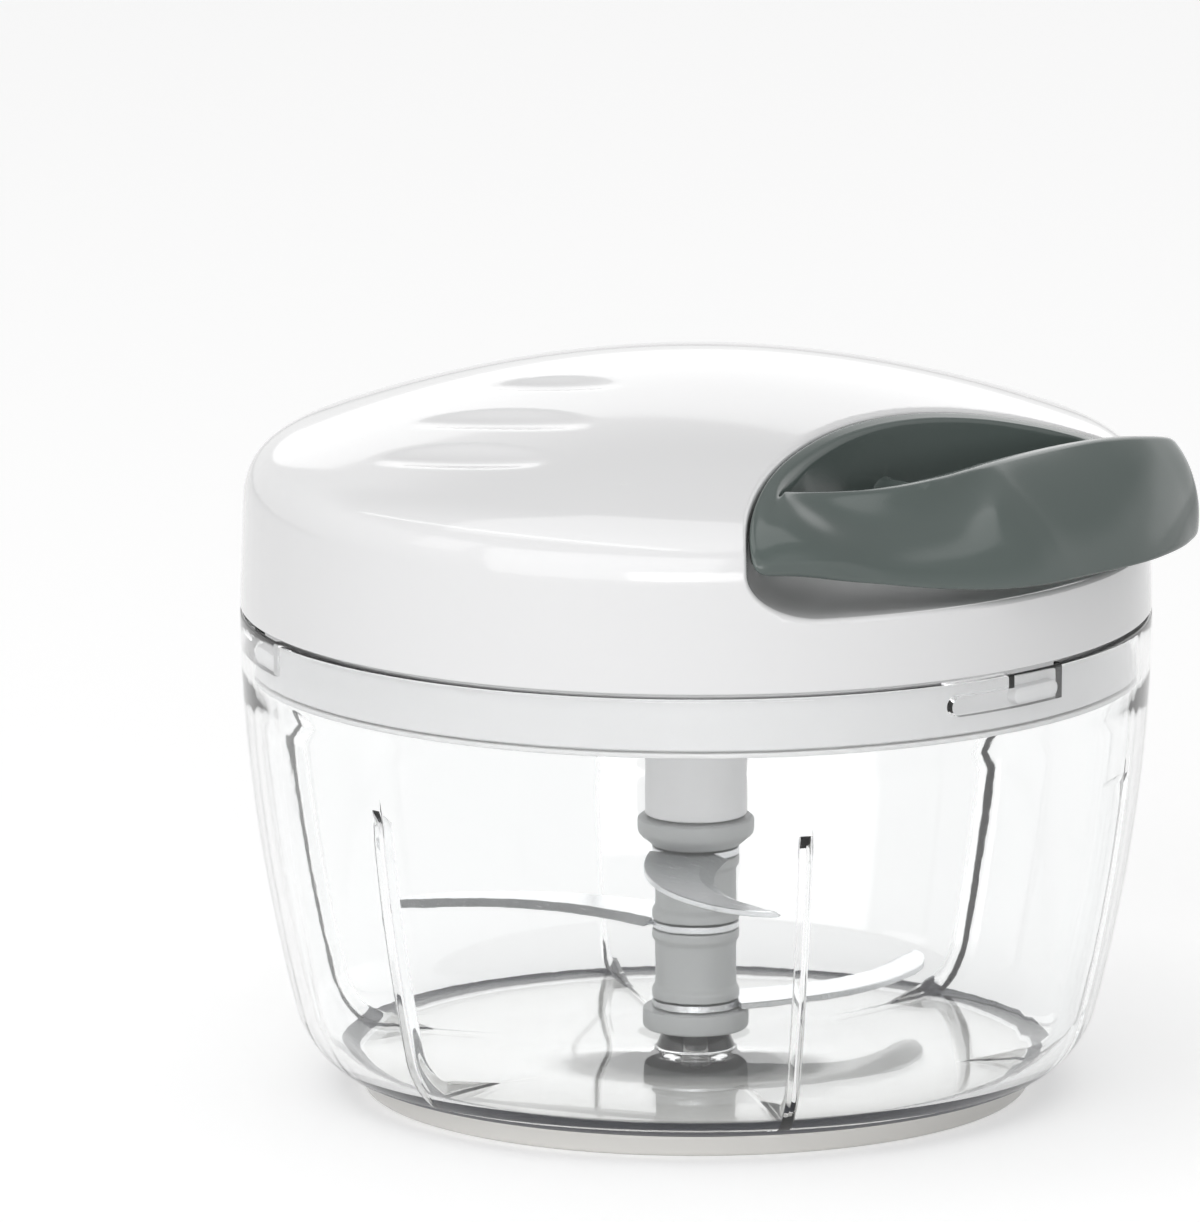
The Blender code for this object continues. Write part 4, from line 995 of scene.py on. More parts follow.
def grooveSink(x, y):
    # how deep the finger grooves press the crown in at a place in the plan
    sink = 0.0
    turn = math.radians(cover["grooveTurn"])
    sag, width = cover["grooveDepth"] * 2.5, cover["grooveWidth"] * 0.62
    for cx, cy, length in cover["grooves"]:
        dx, dy = x - cx, y - cy
        along = dx * math.cos(turn) + dy * math.sin(turn)
        across = dy * math.cos(turn) - dx * math.sin(turn)
        share = (along / (length / 2 * 1.15)) ** 2 + (across / width) ** 2
        if share > 1:
            continue
        radius = math.hypot(cx, cy)
        slope = -cover["crownDrop"] * cover["crownPower"] / cover["shoulderRadius"]
        slope *= (radius / cover["shoulderRadius"]) ** (cover["crownPower"] - 1)
        plane = crownHeight(radius) + slope * (dx * cx + dy * cy) / radius
        dip = sag * math.sqrt(1 - share) - (sag - cover["grooveDepth"])
        dip -= plane - coverHeight(math.hypot(x, y))
        sink = max(sink, (dip + math.sqrt(dip**2 + 0.02)) / 2 - 0.01)
    return sink


def coverPlace(turn, radius, z):
    x, y, z = onCircle(turn, radius, z)
    return x, y, z - grooveSink(x, y) if z > 96 and y < -5 else z


def coverMesh():
    columns, angle = [], -180.0
    while angle < 179.99:
        columns.append(math.radians(angle))
        angle += 0.5 if -130 <= angle < -64 else 2.0
    edge = cover["edgeZ"]
    corner = [(66, edge), (rim["radius"], edge, cover["edgeRound"]), (72.6, 88)]
    profile = [(0, edge), (66, edge)] + softCorners(corner, 4)[1:-1]
    for z in (81.0, 83.5, 86.0, 88.0, 90.0, 92.5):
        draft = cover["draft"] * (z - edge) / (cover["turnZ"] - edge)
        profile.append((rim["radius"] - draft, z))
    profile += fineLine[1:] + [(0, topZ)]
    bm, rows = turnedRows(profile, columns, coverPlace)
    skin(bm, rows)
    return bm


def recessPlace(turn, inset, z):
    # a place on the recess's ellipse, or on one that lies further in
    x = recess["x"] + (recess["depth"] - inset) * math.cos(turn)
    return Vector((x, (recess["half"] - inset) * math.sin(turn), z))


def recessForm(name, grow):
    # the recess's plain form as a solid: ellipses that widen up the cove
    levels = []
    for step in range(6):
        turn = math.pi / 2 * step / 5
        rise = recess["coveRise"] * (1 - math.cos(turn))
        inset = recess["coveRun"] * (1 - math.sin(turn))
        levels.append((inset - grow, recess["floor"] + rise - grow))
    levels.append((-grow, topZ + 6))
    turns = [math.radians(angle) for angle in range(0, 360, 6)]
    rings = [[recessPlace(turn, inset, z) for turn in turns] for inset, z in levels]
    return finishPiece(name, lofted(rings))


def recessPath(turn):
    # from above the dome down the recess's wall, through the cove and out along its floor:
    # places, the way into the solid at each, and how far down the bend it lies
    normal = Vector((math.cos(turn) / recess["depth"], math.sin(turn) / recess["half"], 0))
    normal = normal.normalized()
    bend = recess["floor"] + recess["coveRise"]
    fall = (topZ + 1 - bend) / 40
    path = [(recessPlace(turn, 0, topZ + 1 - fall * step), normal, 0.0) for step in range(40)]
    for step in range(25):
        dip = math.pi / 2 * step / 24
        inset = recess["coveRun"] * (1 - math.cos(dip))
        place = recessPlace(turn, inset, bend - recess["coveRise"] * math.sin(dip))
        way = (normal * math.cos(dip) - Vector((0, 0, math.sin(dip)))).normalized()
        path.append((place, way, step / 24))
    last, down = path[-1][0], Vector((0, 0, -1))
    run = max(78 - last.x, 1.0)
    path += [(last + Vector((run * step / 44, 0, 0)), down, 1.0) for step in range(1, 45)]
    return path


def recessColumn(turn):
    # one column of the rounded recess, its rows laid by depth so that both edges get enough
    path = recessPath(turn)
    depths = [depthUnder(math.hypot(place.x, place.y), place.z) for place, _, _ in path]
    deepest = max(range(len(path)), key=lambda i: depths[i])
    reach = (cover["recessRound"], cover["lipRound"])

    def indexAt(level, steps):
        # the first place past a level of depth, coming from one end
        for i, j in steps:
            if depths[j] >= level:
                share = (level - depths[i]) / max(depths[j] - depths[i], 1e-6)
                return i + (j - i) * min(max(share, 0.0), 1.0)
        return deepest

    shares = (-1.2, -0.5, 0.0, 0.04, 0.1, 0.18, 0.28, 0.4, 0.53, 0.68, 0.84, 1.0)
    fromTop = [(i, i + 1) for i in range(deepest)]
    fromEdge = [(i, i - 1) for i in range(len(path) - 1, deepest, -1)]
    low = [indexAt(share * reach[0], fromTop) for share in shares]
    high = [indexAt(share * reach[1], fromEdge) for share in reversed(shares)]
    between = [low[-1] + (high[0] - low[-1]) * step / 22 for step in range(1, 22)]
    byDepth = low + between + high
    byLength = [24 + (72 - 24) * step / (len(byDepth) - 1) for step in range(len(byDepth))]
    weight = smoothStep(1.5, 5.0, depths[deepest])
    column = []
    for first, second in zip(byLength, byDepth):
        index = first + (second - first) * weight
        whole = min(int(index), len(path) - 2)
        part = index - whole
        before, after = path[whole], path[whole + 1]
        place, way, dip = (before[k] * (1 - part) + after[k] * part for k in range(3))
        depth = depthUnder(math.hypot(place.x, place.y), place.z)
        soft = reach[0] + (reach[1] - reach[0]) * dip
        if depth < soft:
            share = 0.88 * (1 - max(depth, 0.0) / soft)
            push = soft * (1 - math.sqrt(1 - share**2)) + min(max(-depth, 0.0), 3.0) * 1.8
            place = place + way.normalized() * push
        column.append(place)
    return column


def recessCut():
    rings, angle, high = [], 112.0, topZ + 8
    while angle < 248.01:
        column = recessColumn(math.radians(angle))
        first, last = column[0], column[-1]
        out = last.x + 9
        ring = [Vector((first.x, first.y, high))] + column
        rings.append(ring + [Vector((out, last.y, last.z - 1)), Vector((out, last.y, high))])
        angle += 0.34 if angle < 125.5 or angle > 234.5 else 1.0
    return finishPiece("recessCut", lofted(rings))


def alongX(shape, steps=48):
    # a turned form about the cord's line, by radius and distance past the recess's wall
    bm = revolved(shape, steps)
    stand = Matrix.Translation((recess["wallX"], 0, cordZ)) @ Matrix.Rotation(math.pi / 2, 4, "Y")
    bmesh.ops.transform(bm, matrix=stand, verts=bm.verts)
    return bm


shell = finishPiece("coverShell", coverMesh(), paint["coverWhite"])
low, high = cover["hollowLow"], topZ - cover["wall"]
innerLine = lineOffset(coverLine(5, 6) + [(0, topZ)], cover["wall"])
innerLine = [(0, low), (innerLine[0][0], low)] + innerLine[1:-1:2] + [(0, high)]
hollow = finishPiece("hollowForm", revolved(innerLine, 96))
shapeWith(hollow, [(recessForm("recessWall", cover["wall"]), "DIFFERENCE")])
shapeWith(hollow, [(finishPiece("guideHole", alongX(rod(3.2, -8, 4))), "UNION")])
shapeWith(shell, [(recessCut(), "DIFFERENCE"), (hollow, "DIFFERENCE")])
# the screws' posts and the arbor's boss, under the dome
low, high = cover["postLow"], coverHeight(cover["postRing"]) - 1.2
post = softCorners([(1.7, low, 0.3), (3.9, low, 0.5), (3.9, high), (1.7, high)])
posts = bmesh.new()
for index in range(1, 6):
    place = onCircle(math.radians(60 * index), cover["postRing"], 0)
    joinInto(posts, revolved(post, 24), Matrix.Translation(place))
high = topZ - 1.4
arborBoss = [(5.5, 108.0, 0.3), (8.3, 108.0, 0.5), (8.3, high), (0, high)]
arborBoss += [(0, 114.3), (5.5, 114.3, 0.3)]
joinInto(posts, revolved(softCorners(arborBoss), 48))
addTo(shell, finishPiece("coverPosts", posts, paint["coverWhite"]))
smooth(shell, 30)
settle(shell, "lid", ["top_cover"])

print("shaping the handle")
handle = {
    "gap": 0.3,
    "wall": 3.0,
    "rimDrop": 0.4,
    "bottom": 92.0,
    "steps": 10,
    "rimSteps": 4,
    "faceSteps": 24,
    "edge": 0.9,  # how far its crisp corners are rounded back
    "crease": 0.4,
    "fullness": 2.2,
    "lowZ": 97.9,
    "meltPasses": 90,
    "meltSections": (-100, -70, 8, 24),  # starts, full, fades, ends
}
# the wall that follows the recess: places of its outer face and its inner face on the
# recess's ellipse, in degrees, and how round the rim's inner corner is, in millimetres
backTurns = [
    (-53, -36.2, 4.0),
    (-46, -34.2, 4.0),
    (-36, -30.4, 3.0),
    (-25, -22.5, 1.6),
    (-12, -11, 1.0),
    (0, 0, 0.7),
    (12, 11, 0.7),
    (25, 22.5, 0.7),
    (38, 33, 1.0),
    (48, 39, 1.6),
    (57, 44, 1.6),
]
# rows along the grip: the top edge's place along Y, how far it stands out of the cover's wall
# and how high, the same for the low edge, the face's bulge, how the scoop leans and curves,
# how flush it lies with the cover, and how far back, sideways and up the inner top edge lies
gripRows = [
    (44.6, 4.6, 15.0, 44.6, 9.9, 0.5, 2.3, 20, 60, 0.0, 3.0, -3.0, -0.3),
    (38.4, 0.6, 16.2, 38.4, 9.6, 0.0, 2.4, 20, 60, 0.0, 3.0, -0.6, -0.3),
    (30.2, -5.2, 16.8, 30.2, 8.4, 0.0, 2.7, 20, 60, 0.0, 3.0, 0.0, -0.3),
    (20.5, -11.0, 16.5, 20.5, 6.7, 0.0, 2.9, 20, 60, 0.0, 3.0, 0.0, -0.3),
    (8.0, -14.9, 15.9, 8.0, 4.2, 0.0, 2.8, 9, 70, 0.0, 3.0, 0.0, -0.3),
    (2.5, -15.1, 15.7, 2.5, 3.8, 0.0, 2.7, -1, 50, 0.0, 3.0, 0.05, -0.3),
    (-3.0, -15.0, 15.5, -3.0, 3.2, 0.0, 2.5, -5.8, 32, 0.0, 3.0, 0.1, -0.3),
    (-10.5, -14.2, 15.4, -10.5, 1.4, 0.1, 1.75, -8, 18.8, 0.0, 3.0, 0.3, -0.3),
    (-20.0, -14.0, 15.0, -20.0, -1.2, 1.0, 1.25, -7.1, 15.8, 0.0, 2.7, 0.9, -0.3),
    (-26.0, -16.5, 15.1, -27.0, -2.5, 2.2, 1.4, -4.7, 12.2, 0.05, 2.0, 1.4, -0.3),
]
# where the grip runs out into the recess's left corner: inner top edge, a middle place, low edge,
# inner low edge, then bulge, lean and curve of the face, how flush, and the inner corner's round
postRows = [
    (46.7, -30.2, 107.4, 47.9, -30.9, 107.3, 62.2, -31.5, 95.1, 60.0, -30.0, 95.5,
     2.3, -1, 8, 0.25, 0.5),
    (46.5, -31.2, 107.7, 50.0, -34.0, 106.4, 60.1, -35.7, 95.8, 56.0, -33.5, 96.2,
     2.9, 3, 6, 0.65, 0.8),
    (46.4, -31.6, 107.9, 51.5, -37.5, 104.9, 57.6, -40.3, 96.7, 51.7, -34.5, 97.1,
     3.1, 6, 6, 0.95, 1.6),
    (46.3, -31.7, 107.9, 51.5, -39.5, 104.5, 55.7, -44.3, 97.0, 49.0, -33.2, 97.4,
     2.0, 20, 60, 1, 2.6),
    (46.2, -31.7, 107.9, 50.5, -40.0, 105.0, 54.2, -47.2, 97.4, 47.5, -32.4, 97.8,
     0.8, 20, 60, 1, 3.4),
    (46.1, -31.6, 107.9, 50.0, -39.5, 105.5, 53.2, -47.1, 100.6, 46.4, -31.6, 97.9,
     0, 20, 60, 1, 3.8),
]
# the same where it runs out at the other end
endRows = [
    (51.2, 38.2, 106.6, 55.0, 45.0, 103.4, 54.9, 47.0, 98.2, 51.0, 38.0, 97.9,
     0.5, 20, 60, 0.9, 1.2),
    (55.0, 40.0, 106.9, 58.2, 45.6, 104.8, 60.3, 46.2, 94.9, 57.0, 41.0, 95.8,
     1.4, 20, 60, 0.4, 0.9),
]


def surfacePlace(point):
    # the nearest place on the cover's outline: how far along it, and how deep inside it
    spot = Vector((math.hypot(point.x, point.y), point.z))
    best, found, run = 1e9, (0, 0), 0.0
    for (r0, z0), (r1, z1) in zip(fineLine, fineLine[1:]):
        start, along = Vector((r0, z0)), Vector((r1 - r0, z1 - z0))
        share = min(max((spot - start).dot(along) / along.length_squared, 0.0), 1.0)
        off = spot - start - along * share
        if off.length < best:
            best = off.length
            depth = off.dot(Vector((-along.y, along.x)).normalized())
            found = (run + along.length * share, depth)
        run += along.length
    return found


def surfacePoint(distance, depth, angle):
    run = 0.0
    last = len(fineLine) - 2
    for i in range(last + 1):
        start, end = Vector(fineLine[i]), Vector(fineLine[i + 1])
        length = (end - start).length
        if run + length >= distance or i == last:
            share = min(max((distance - run) / length, 0.0), 1.0)
            before, after = Vector(fineLine[max(i - 1, 0)]), Vector(fineLine[min(i + 2, last + 1)])
            ahead = (after - start).normalized()
            along = (end - before).normalized().lerp(ahead, share).normalized()
            place = start.lerp(end, share) + Vector((-along.y, along.x)) * depth
            return Vector(onCircle(angle, *place))
        run += length


def recessEdge(turn, inset):
    angle = math.radians(turn)
    return (
        recess["x"] - (recess["depth"] - inset) * math.cos(angle),
        (recess["half"] - inset) * math.sin(angle),
    )


def onCrown(x, y):
    return Vector((x, y, coverHeight(math.hypot(x, y)) - handle["rimDrop"]))


# every section is: inner top edge, middle place, outer edge, bottom outer edge, inner low edge,
# the way the face bulges, and its numbers
def backSection(outer, inner, roundIn):
    x, y = recessEdge(outer, handle["gap"])
    innerX, innerY = recessEdge(inner, handle["gap"] + handle["wall"])
    edge, topIn = onCrown(x, y), onCrown(innerX, innerY)
    out = Vector((-math.cos(math.radians(outer)), math.sin(math.radians(outer)), 0))
    low = Vector((x, y, min(handle["lowZ"], edge.z - 1.5)))
    lowIn = Vector((innerX, innerY, handle["lowZ"]))
    return (topIn, (topIn + edge) / 2, edge, low, lowIn, out, Vector((0, 20, 60, 1, roundIn)))


def gripSection(row):
    along, topOut, topUp, lowAlong, lowOut, lowUp = row[:6]
    bulge, lean, curve, flush, back, side, rise = row[6:]
    wall = rim["radius"] - cover["draft"]
    top = Vector((math.sqrt(wall**2 - along**2) + topOut, along, handle["bottom"] + topUp))
    low = Vector((math.sqrt(wall**2 - lowAlong**2) + lowOut, lowAlong, handle["bottom"] + lowUp))
    down = (low - top).normalized()
    out = Vector((-down.z, 0, down.x)).normalized()
    topIn = top + Vector((-back * 0.9, side * 0.9, rise))
    lowIn = low + Vector((-back, side, 0.4))
    numbers = Vector((bulge, lean, curve, flush, 0.7))
    return (topIn, top, low, low.lerp(lowIn, 0.45), lowIn, out, numbers)


def endSection(row):
    topIn, middle, edge, lowIn = (Vector(row[i : i + 3]) for i in (0, 3, 6, 9))
    down = (edge - middle).normalized()
    out = Vector((-down.z, 0, down.x)).normalized()
    low = edge.lerp(lowIn, 0.3)
    low.z = min(low.z, edge.z - (0.2 if edge.z < 98.5 else 2.5))
    return (topIn, middle, edge, low, lowIn, out, Vector(row[12:]))


def smoothRail(points, steps):
    made = []
    count = len(points)
    for i in range(count):
        before, first = points[i - 1], points[i]
        last, after = points[(i + 1) % count], points[(i + 2) % count]
        for step in range(steps):
            t = step / steps
            made.append(
                first
                + (last - before) * (t / 2)
                + (before * 2 - first * 5 + last * 4 - after) * (t**2 / 2)
                + (first * 3 - before - last * 3 + after) * (t**3 / 2)
            )
    return made


cornerPull = 0.62  # how far a rounded corner's curve is pulled to the corner


def arc(first, firstPull, lastPull, last, steps):
    shares = [step / steps for step in range(steps + 1)]
    return [curvePoint(first, firstPull, lastPull, last, share) for share in shares]


def cornerArc(before, corner, after, steps):
    pulls = (before.lerp(corner, cornerPull), after.lerp(corner, cornerPull))
    return arc(before, *pulls, after, steps)


def outerPath(topIn, middle, edge, out, shape):
    # from the inner top edge over the rim and down the face; flush, it follows the cover
    bulge, lean, curve, flush, _ = shape
    height, width = (edge - middle).length, (middle - topIn).length

    def face(share):
        full = bulge * (1 - abs(2 * share - 1) ** handle["fullness"])
        scoop = lean * share + curve * share**2
        soft = handle["crease"] * min(share * 5, 1)
        rise = (full + scoop - math.hypot(full - scoop, soft)) / 2
        return middle.lerp(edge, share) + out * rise

    cut, start = min(handle["edge"], width * 0.6), min(handle["edge"] / height, 0.4)
    steps = handle["rimSteps"]
    path = [topIn.lerp(middle, (1 - cut / width) * step / steps) for step in range(steps)]
    first, last = middle.lerp(topIn, cut / width), face(start)
    along = (face(start + 0.01) - last).normalized()
    pull = last - along * ((last - middle).length * cornerPull)
    path += arc(first, first.lerp(middle, cornerPull), pull, last, 8)
    steps = handle["faceSteps"]
    path += [face(start + (1 - start) * step / steps) for step in range(1, steps + 1)]
    if flush < 0.001:
        return path
    flush = min(flush, 1.0)
    run = lengthsAlong(path)
    (near, nearDeep), (far, farDeep) = surfacePlace(topIn), surfacePlace(edge)
    nearAngle, farAngle = math.atan2(topIn.y, topIn.x), math.atan2(edge.y, edge.x)
    made = []
    for point, length in zip(path, run):
        t = length / run[-1]
        depth = nearDeep * (1 - t) ** 2 + handle["rimDrop"] * 2 * t * (1 - t) + farDeep * t**4
        angle = nearAngle + (farAngle - nearAngle) * t
        made.append(point.lerp(surfacePoint(near + (far - near) * t, depth, angle), flush))
    return made


def trimmed(path, before, after):
    # the path again, with so much of its length taken off at both ends
    run = lengthsAlong(path)
    before, after = min(before, run[-1] * 0.6), run[-1] - min(after, run[-1] * 0.35)

    def indexAt(length):
        for i in range(len(path) - 1):
            if run[i + 1] >= length:
                return i + (length - run[i]) / max(run[i + 1] - run[i], 1e-9)
        return len(path) - 1

    first, last, count = indexAt(before), indexAt(after), len(path) - 1
    made = []
    for step in range(count + 1):
        place = first + (last - first) * step / count
        whole = min(int(place), count - 1)
        made.append(path[whole].lerp(path[whole + 1], place - whole))
    return made


def handleRing(topIn, middle, edge, low, lowIn, out, shape):
    # one closed section: the rim and the face, the bottom, and up the side in the opening
    size = handle["edge"]
    roundIn = max(shape[4], 0.3)
    ring = trimmed(outerPath(topIn, middle, edge, out, shape), roundIn, size)
    start = ring[0]
    turn = min(size / (low - edge).length, 0.45)
    ring += cornerArc(ring[-1], edge, edge.lerp(low, turn), 4)[1:]
    turn = min(size / (lowIn - low).length, 0.45)
    ring += cornerArc(low.lerp(edge, 0.35), low, low.lerp(lowIn, turn), 3)
    rise = topIn - lowIn
    ring += cornerArc(lowIn.lerp(low, turn), lowIn, lowIn + rise * 0.1, 4)
    down = min(roundIn / rise.length, 0.5)
    ring += [lowIn + rise * (0.1 + (0.9 - down) * step / 5) for step in range(1, 5)]
    ring += cornerArc(topIn - rise * down, topIn, start, 8)[:-1]
    return ring


def handleMesh():
    sections = [backSection(*turns) for turns in backTurns]
    sections += [endSection(row) for row in endRows] + [gripSection(row) for row in gripRows]
    sections += [endSection(row) for row in postRows]
    rails = [smoothRail([s[i] for s in sections], handle["steps"]) for i in range(7)]
    rings = [handleRing(*parts) for parts in zip(*rails)]
    faceEnd = 8 + handle["rimSteps"] + handle["faceSteps"] - 3
    # the grip and the wall melt together round the opening's corner
    start, full, fade, end = handle["meltSections"]
    for _ in range(handle["meltPasses"]):
        before = rings
        rings = list(before)
        for i in range(start, end):
            weight = smoothStep(start, full, i) * (1 - smoothStep(fade, end, i))
            ring = []
            for j, point in enumerate(before[i]):
                toMean = (before[i - 1][j] + before[i + 1][j]) / 2 - point
                moved = point + toMean * (weight * (0.65 if j < faceEnd else 0.3))
                if 2 <= j < faceEnd:
                    beside = (before[i][j - 1] + before[i][j + 1]) / 2
                    moved += (beside - point) * (weight * 0.3)
                ring.append(moved)
            rings[i] = ring
    return lofted(rings, closed=True)


loop = finishPiece("pullHandle", handleMesh(), paint["handleGrey"])
shapeWith(loop, [(finishPiece("cordHole", alongX(rod(1.3, -1, 6), 24)), "DIFFERENCE")], sharp=40)
outline = [(2.4, 2.6), (3.9, 2.6), (3.5, 3.4, 0.6), (3.3, 4.4, 0.6), (3.2, 7.9, 0.6)]
outline.append((2.4, 7.9, 0.3))
addTo(loop, finishPiece("knotBoss", alongX(softCorners(outline, 5)), paint["handleGrey"]))
smooth(loop, 40)
settle(loop, "handle", ["pull_handle"])
outline = [(0, 6.7), (2.2, 6.7, 0.1), (2.2, 7.9, 0.3), (0, 7.75)]
turnedPiece(
    "knotCap", outline, "handleGrey", "handle", "knot_cap", steps=48, make=alongX
)

print("laying the cord")
cord = {
    "diameter": 1.8,
    "pitch": 2.3,
    "turns": 3.5,
    "windRadius": 20.0,
    "sides": 14,
    "braidLength": 5.6,
    "flange": 1.2,  # of the guide, behind the wall
    "knotSeat": 2.3,
    "knotHalf": 1.9,
}


def cordMesh(points):
    return lofted(tubeRows(points, cord["diameter"] / 2, cord["sides"]))


def cordPiece(name, points, body, node):
    bm = cordMesh(points)
    layer = bm.loops.layers.uv.new("cordRun")
    run = [length / cord["braidLength"] for length in lengthsAlong(points)]
    bm.verts.ensure_lookup_table()
    sides = cord["sides"]
    for face in bm.faces:
        turns = [loop.vert.index % sides for loop in face.loops]
        wraps = max(turns) - min(turns) > sides / 2
        for loop, turn in zip(face.loops, turns):
            around = (turn + sides if wraps and turn < sides / 2 else turn) / sides
            loop[layer].uv = (run[min(loop.vert.index // sides, len(run) - 1)], around)
    return finishPiece(name, bm, paint["cord"], body, [node], sharp=60)


def onLine(x):
    return Vector((x, 0, cordZ))


leaveAngle = -math.acos(cord["windRadius"] / recess["wallX"])
windPoints = []
count = int(cord["turns"] * 48)
for step in range(count + 1):
    back = cord["turns"] * (1 - step / count)
    z = cordZ - cord["pitch"] * back
    windPoints.append(Vector(onCircle(leaveAngle - math.tau * back, cord["windRadius"], z)))
cordPiece("cordOnDrum", windPoints, "drum", "cord_winding")

start = Vector(onCircle(leaveAngle, cord["windRadius"], cordZ))
mouth = recess["wallX"] - cover["wall"] - gap - cord["flange"] - gap
bend = onLine(mouth - 3)
ahead = (bend - start).normalized()
first, lineEnd = start + ahead * gap, bend - ahead * 3
leadPoints = [first.lerp(lineEnd, step / 12) for step in range(12)]
for step in range(12):
    t = step / 12
    leadPoints.append(lineEnd.lerp(bend, t).lerp(bend.lerp(onLine(mouth), t), t))
leadPoints += [onLine(mouth), onLine(recess["wallX"])]
cordPiece("cordLead", leadPoints, "lid", "cord_lead")

knotX = recess["wallX"] + cord["knotSeat"] + gap + cord["knotHalf"]
tailStart, tailEnd = recess["wallX"] + gap, knotX - cord["knotHalf"] - gap
tailPoints = [onLine(tailStart + (tailEnd - tailStart) * i / 60) for i in range(61)]
tail = finishPiece("cordTail", cordMesh(tailPoints), paint["cord"], sharp=60)
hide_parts("cord_tail")
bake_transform(tail)


def knotMesh():
    # an overhand knot pulled tight: a short thick cord bent in a three-lobed path
    points = []
    count = 96
    for step in range(count + 1):
        turn = math.tau * step / count
        x = math.sin(turn) + 2 * math.sin(2 * turn)
        y = math.cos(turn) - 2 * math.cos(2 * turn)
        points.append(Vector((-math.sin(3 * turn) * 0.52, x * 0.33, y * 0.33)))
    rings = []
    for i in range(count):
        ahead = (points[(i + 1) % count] - points[i - 1]).normalized()
        rings.append(ringRound(points[i], ahead, Vector((1, 0, 0.02)), 0.8, 12))
    bm = lofted(rings, closed=True)
    bmesh.ops.translate(bm, vec=onLine(knotX), verts=bm.verts)
    return bm


finishPiece("cordKnot", knotMesh(), paint["cord"], "handle", ["cord_knot"], sharp=60)
outline = [(1.3, 0, 0.6), (1.3, -3.7, 0.6), (4.3, -3.7, 0.3), (4.3, -2.5, 0.3), (2.9, -2.5)]
outline.append((2.9, 0, 0.3))
turnedPiece(
    "cordGuide", outline, "pinSteel", "lid", "cord_guide", steps=48, corner=4, make=alongX
)

print("finishing what stays from the packed model")
spring = {"start": 5.75, "end": 16.05, "strip": 0.5, "low": 93.2, "height": 7.6, "turns": 5}


def springMesh():
    rings = []
    count = spring["turns"] * 64
    low, high = spring["low"], spring["low"] + spring["height"]
    for step in range(count + 1):
        angle = math.tau * spring["turns"] * step / count
        middle = spring["start"] + (spring["end"] - spring["start"]) * step / count
        inner, outer = middle - spring["strip"] / 2, middle + spring["strip"] / 2
        corners = ((inner, low), (outer, low), (outer, high), (inner, high))
        rings.append([onCircle(angle, radius, z) for radius, z in corners])
    return lofted(rings)


finishPiece(
    "recoilSpring",
    springMesh(),
    paint["springSteel"],
    "lid",
    ["recoil_spring"],
    sharp=40,
)
kept = {
    "spring_arbor": "pinSteel",
    "spring_cover": "drumPlastic",
    "cord_drum": "drumPlastic",
    "drive_shaft": "hubGrey",
    "bearing_washer": "pinSteel",
}
kept.update({f"cover_screw_{index}": "pinSteel" for index in range(1, 6)})
for node, finish in kept.items():
    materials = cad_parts[node].data.materials
    materials.clear()
    materials.append(paint[finish])

print("setting the stage, the light and the camera")
stage = {"size": 12.0, "floorColor": 0.75, "plainColor": 0.8, "glow": 0.45}
white = (1, 1, 1, 1)


def floorMaterial():
    # brighter and glowing where it is seen, plain where it only lights the object
    material, tree, shader = newMaterial("paleFloor")
    tree.nodes.remove(shader)
    grey = put(tree, "BsdfDiffuse", {"Color": (stage["floorColor"],) * 3 + (1,)})
    glow = put(tree, "Emission", {"Color": white, "Strength": stage["glow"]})
    seen = put(tree, "AddShader", {0: grey.outputs[0], 1: glow.outputs[0]})
    rays = put(tree, "LightPath").outputs
    shown = maths(tree, "MAXIMUM", rays["Is Camera Ray"], rays["Is Glossy Ray"])
    shown = maths(tree, "MAXIMUM", shown, rays["Is Transmission Ray"])
    plain = put(tree, "BsdfDiffuse", {"Color": (stage["plainColor"],) * 3 + (1,)})
    ways = {0: shown, 1: plain.outputs[0], 2: seen.outputs[0]}
    showShader(tree, put(tree, "MixShader", ways))
    return material


floorBm = bmesh.new()
bmesh.ops.create_grid(floorBm, x_segments=1, y_segments=1, size=stage["size"] / 2 / mm)
floor = finishPiece("floor", floorBm, floorMaterial())

# a white studio: dimmer overhead in reflections, and dimmer still as the light on the object
sky = {"fill": 0.4, "upper": 0.46, "edgeLow": 0.50, "edgeHigh": 0.68}
world = bpy.data.worlds.new("studio")
bpy.context.scene.world = world
world.use_nodes = True
tree = world.node_tree
tree.nodes.remove(tree.nodes["Background"])
rays = put(tree, "LightPath").outputs
heading = put(tree, "SeparateXYZ", {0: put(tree, "TexCoord").outputs["Generated"]}).outputs["Z"]
upper = mapped(tree, heading, sky["edgeLow"], sky["edgeHigh"], 1.0, sky["upper"], "SMOOTHSTEP")
fill = maths(tree, "MULTIPLY", upper, sky["fill"])
direct = maths(tree, "MAXIMUM", rays["Is Camera Ray"], rays["Is Transmission Ray"])
gloss = {"Factor": rays["Is Glossy Ray"], "A": fill, "B": upper}
indirect = put(tree, "Mix", gloss, data_type="FLOAT").outputs[0]
strength = put(tree, "Mix", {"Factor": direct, "A": indirect, "B": 1.0}, data_type="FLOAT")
backdrop = put(tree, "Background", {"Color": white, "Strength": strength.outputs[0]})
tree.links.new(backdrop.outputs[0], tree.nodes["World Output"].inputs["Surface"])

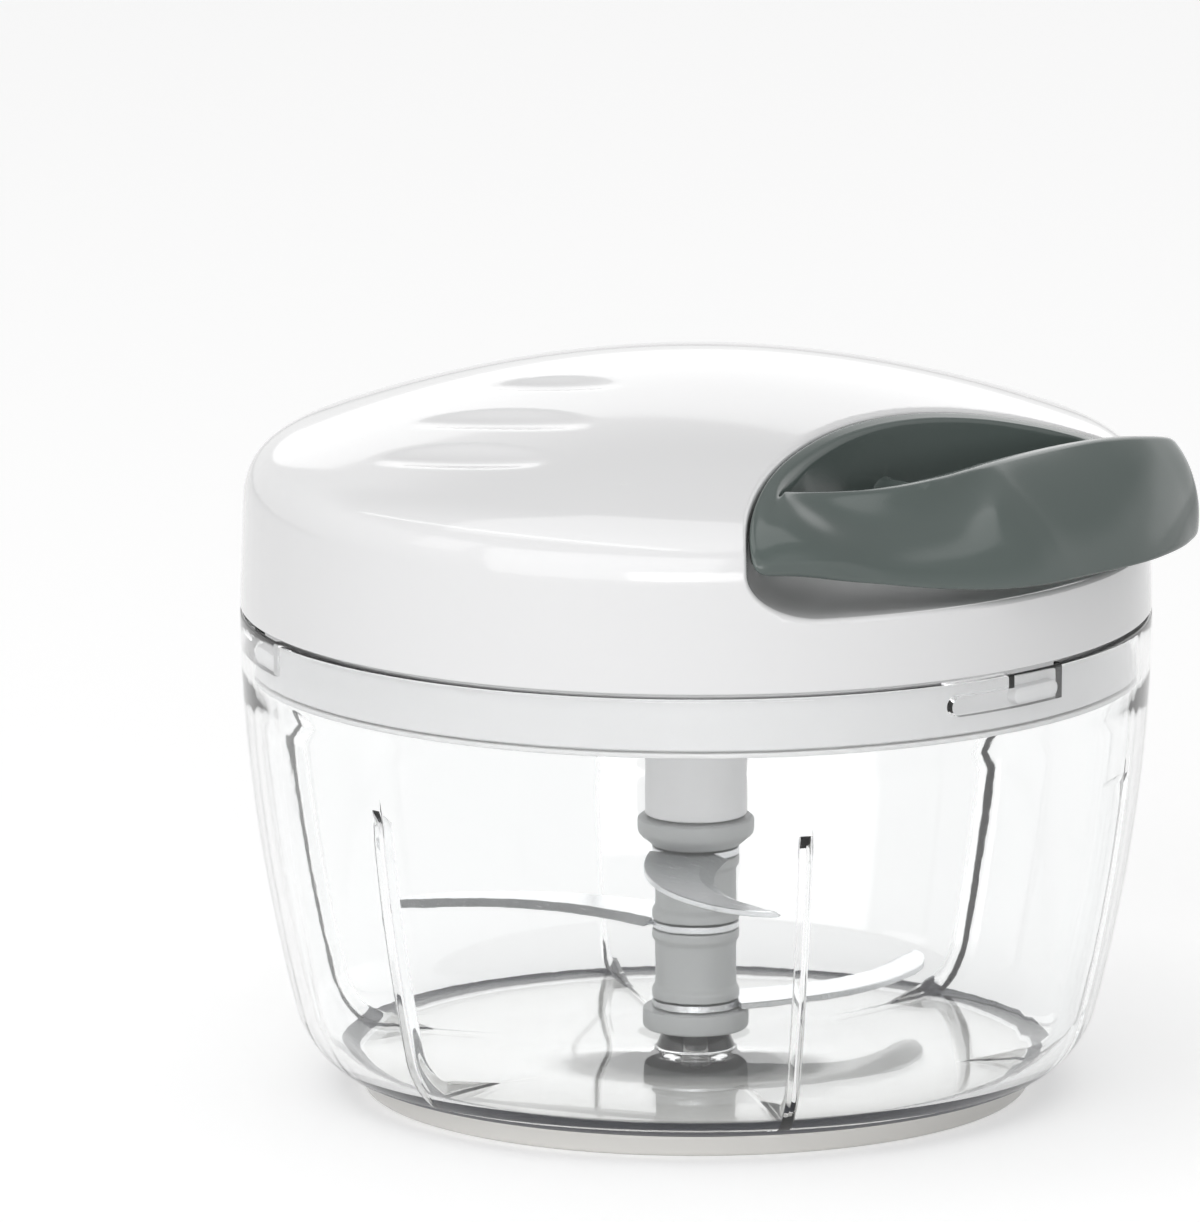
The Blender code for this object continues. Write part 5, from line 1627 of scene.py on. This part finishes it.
view = {
    "azimuth": 42.0,
    "elevation": 11.63,
    "distance": 3.2,
    "lens": 589.0,
    "across": -15.36,
    "up": 19.14,
    "height": 57.6,
}
azimuth, elevation = math.radians(view["azimuth"]), math.radians(view["elevation"])
right = Vector((math.cos(azimuth), math.sin(azimuth), 0))
level = math.cos(elevation)
towards = Vector((math.sin(azimuth) * level, -math.cos(azimuth) * level, math.sin(elevation)))
over = towards.cross(right)
aim = (Vector((0, 0, view["height"])) + right * view["across"] + over * view["up"]) * mm
lit = Vector((0, 0, 0.07))  # what the lamps turn to


def inRoom(across, before, high):
    # a place by how far right of, before and above the object it is, as the camera sees it
    flat = Vector((towards.x, towards.y, 0)).normalized()
    return right * across + flat * before + Vector((0, 0, high))


def panelLamp(name, size, power, shape="RECTANGLE"):
    light = bpy.data.lights.new(name, "AREA")
    light.shape = shape
    light.size, light.size_y = size
    light.energy = power
    panel = bpy.data.objects.new(name, light)
    bpy.context.scene.collection.objects.link(panel)
    return panel


def lamp(name, place, size, power, shape="RECTANGLE"):
    # a soft panel that faces the object
    panel = panelLamp(name, size, power, shape)
    panel.location = inRoom(*place)
    panel.rotation_euler = (lit - panel.location).to_track_quat("-Z", "Y").to_euler()


def stripLamp(name, start, end, width, power):
    # a narrow panel between two places that faces down
    first, last = inRoom(*start), inRoom(*end)
    panel = panelLamp(name, ((last - first).length, width), power)
    along = (last - first).normalized()
    up = (first.lerp(last, 0.3) - lit).normalized()
    side = up.cross(along).normalized()
    turned = Matrix((along, side, along.cross(side))).transposed().to_4x4()
    panel.matrix_world = Matrix.Translation(first.lerp(last, 0.5)) @ turned


lamp("overheadPanel", (-0.1, 0.1, 1.9), (2.2, 1.8), 14.0)
lamp("backPanel", (0.9, -2.0, 0.9), (4.1, 1.55), 9.6, shape="ELLIPSE")
lamp("leftPanel", (-1.6, 0.55, 1.0), (0.5, 0.7), 1.0)
lamp("frontPanel", (-0.8, 1.7, 0.75), (2.2, 1.5), 14.5)
lamp("lowPanel", (0.2, 1.9, 0.25), (1.6, 0.4), 6.0)
stripLamp("shoulderStrip", (-0.1, 1.0, 1.5), (-1.5, -0.9, 1.5), 0.1, 1.5)

lens = bpy.data.cameras.new("camera")
lens.lens = view["lens"]
lens.sensor_fit = "VERTICAL"
lens.sensor_height = 36.0
lens.clip_start, lens.clip_end = 0.05, 50.0
eye = bpy.data.objects.new("camera", lens)
turned = Matrix((right, over, towards)).transposed().to_4x4()
eye.matrix_world = Matrix.Translation(aim + towards * view["distance"]) @ turned
bpy.context.scene.collection.objects.link(eye)
bpy.context.scene.camera = eye
bpy.context.scene.view_settings.view_transform = "Standard"
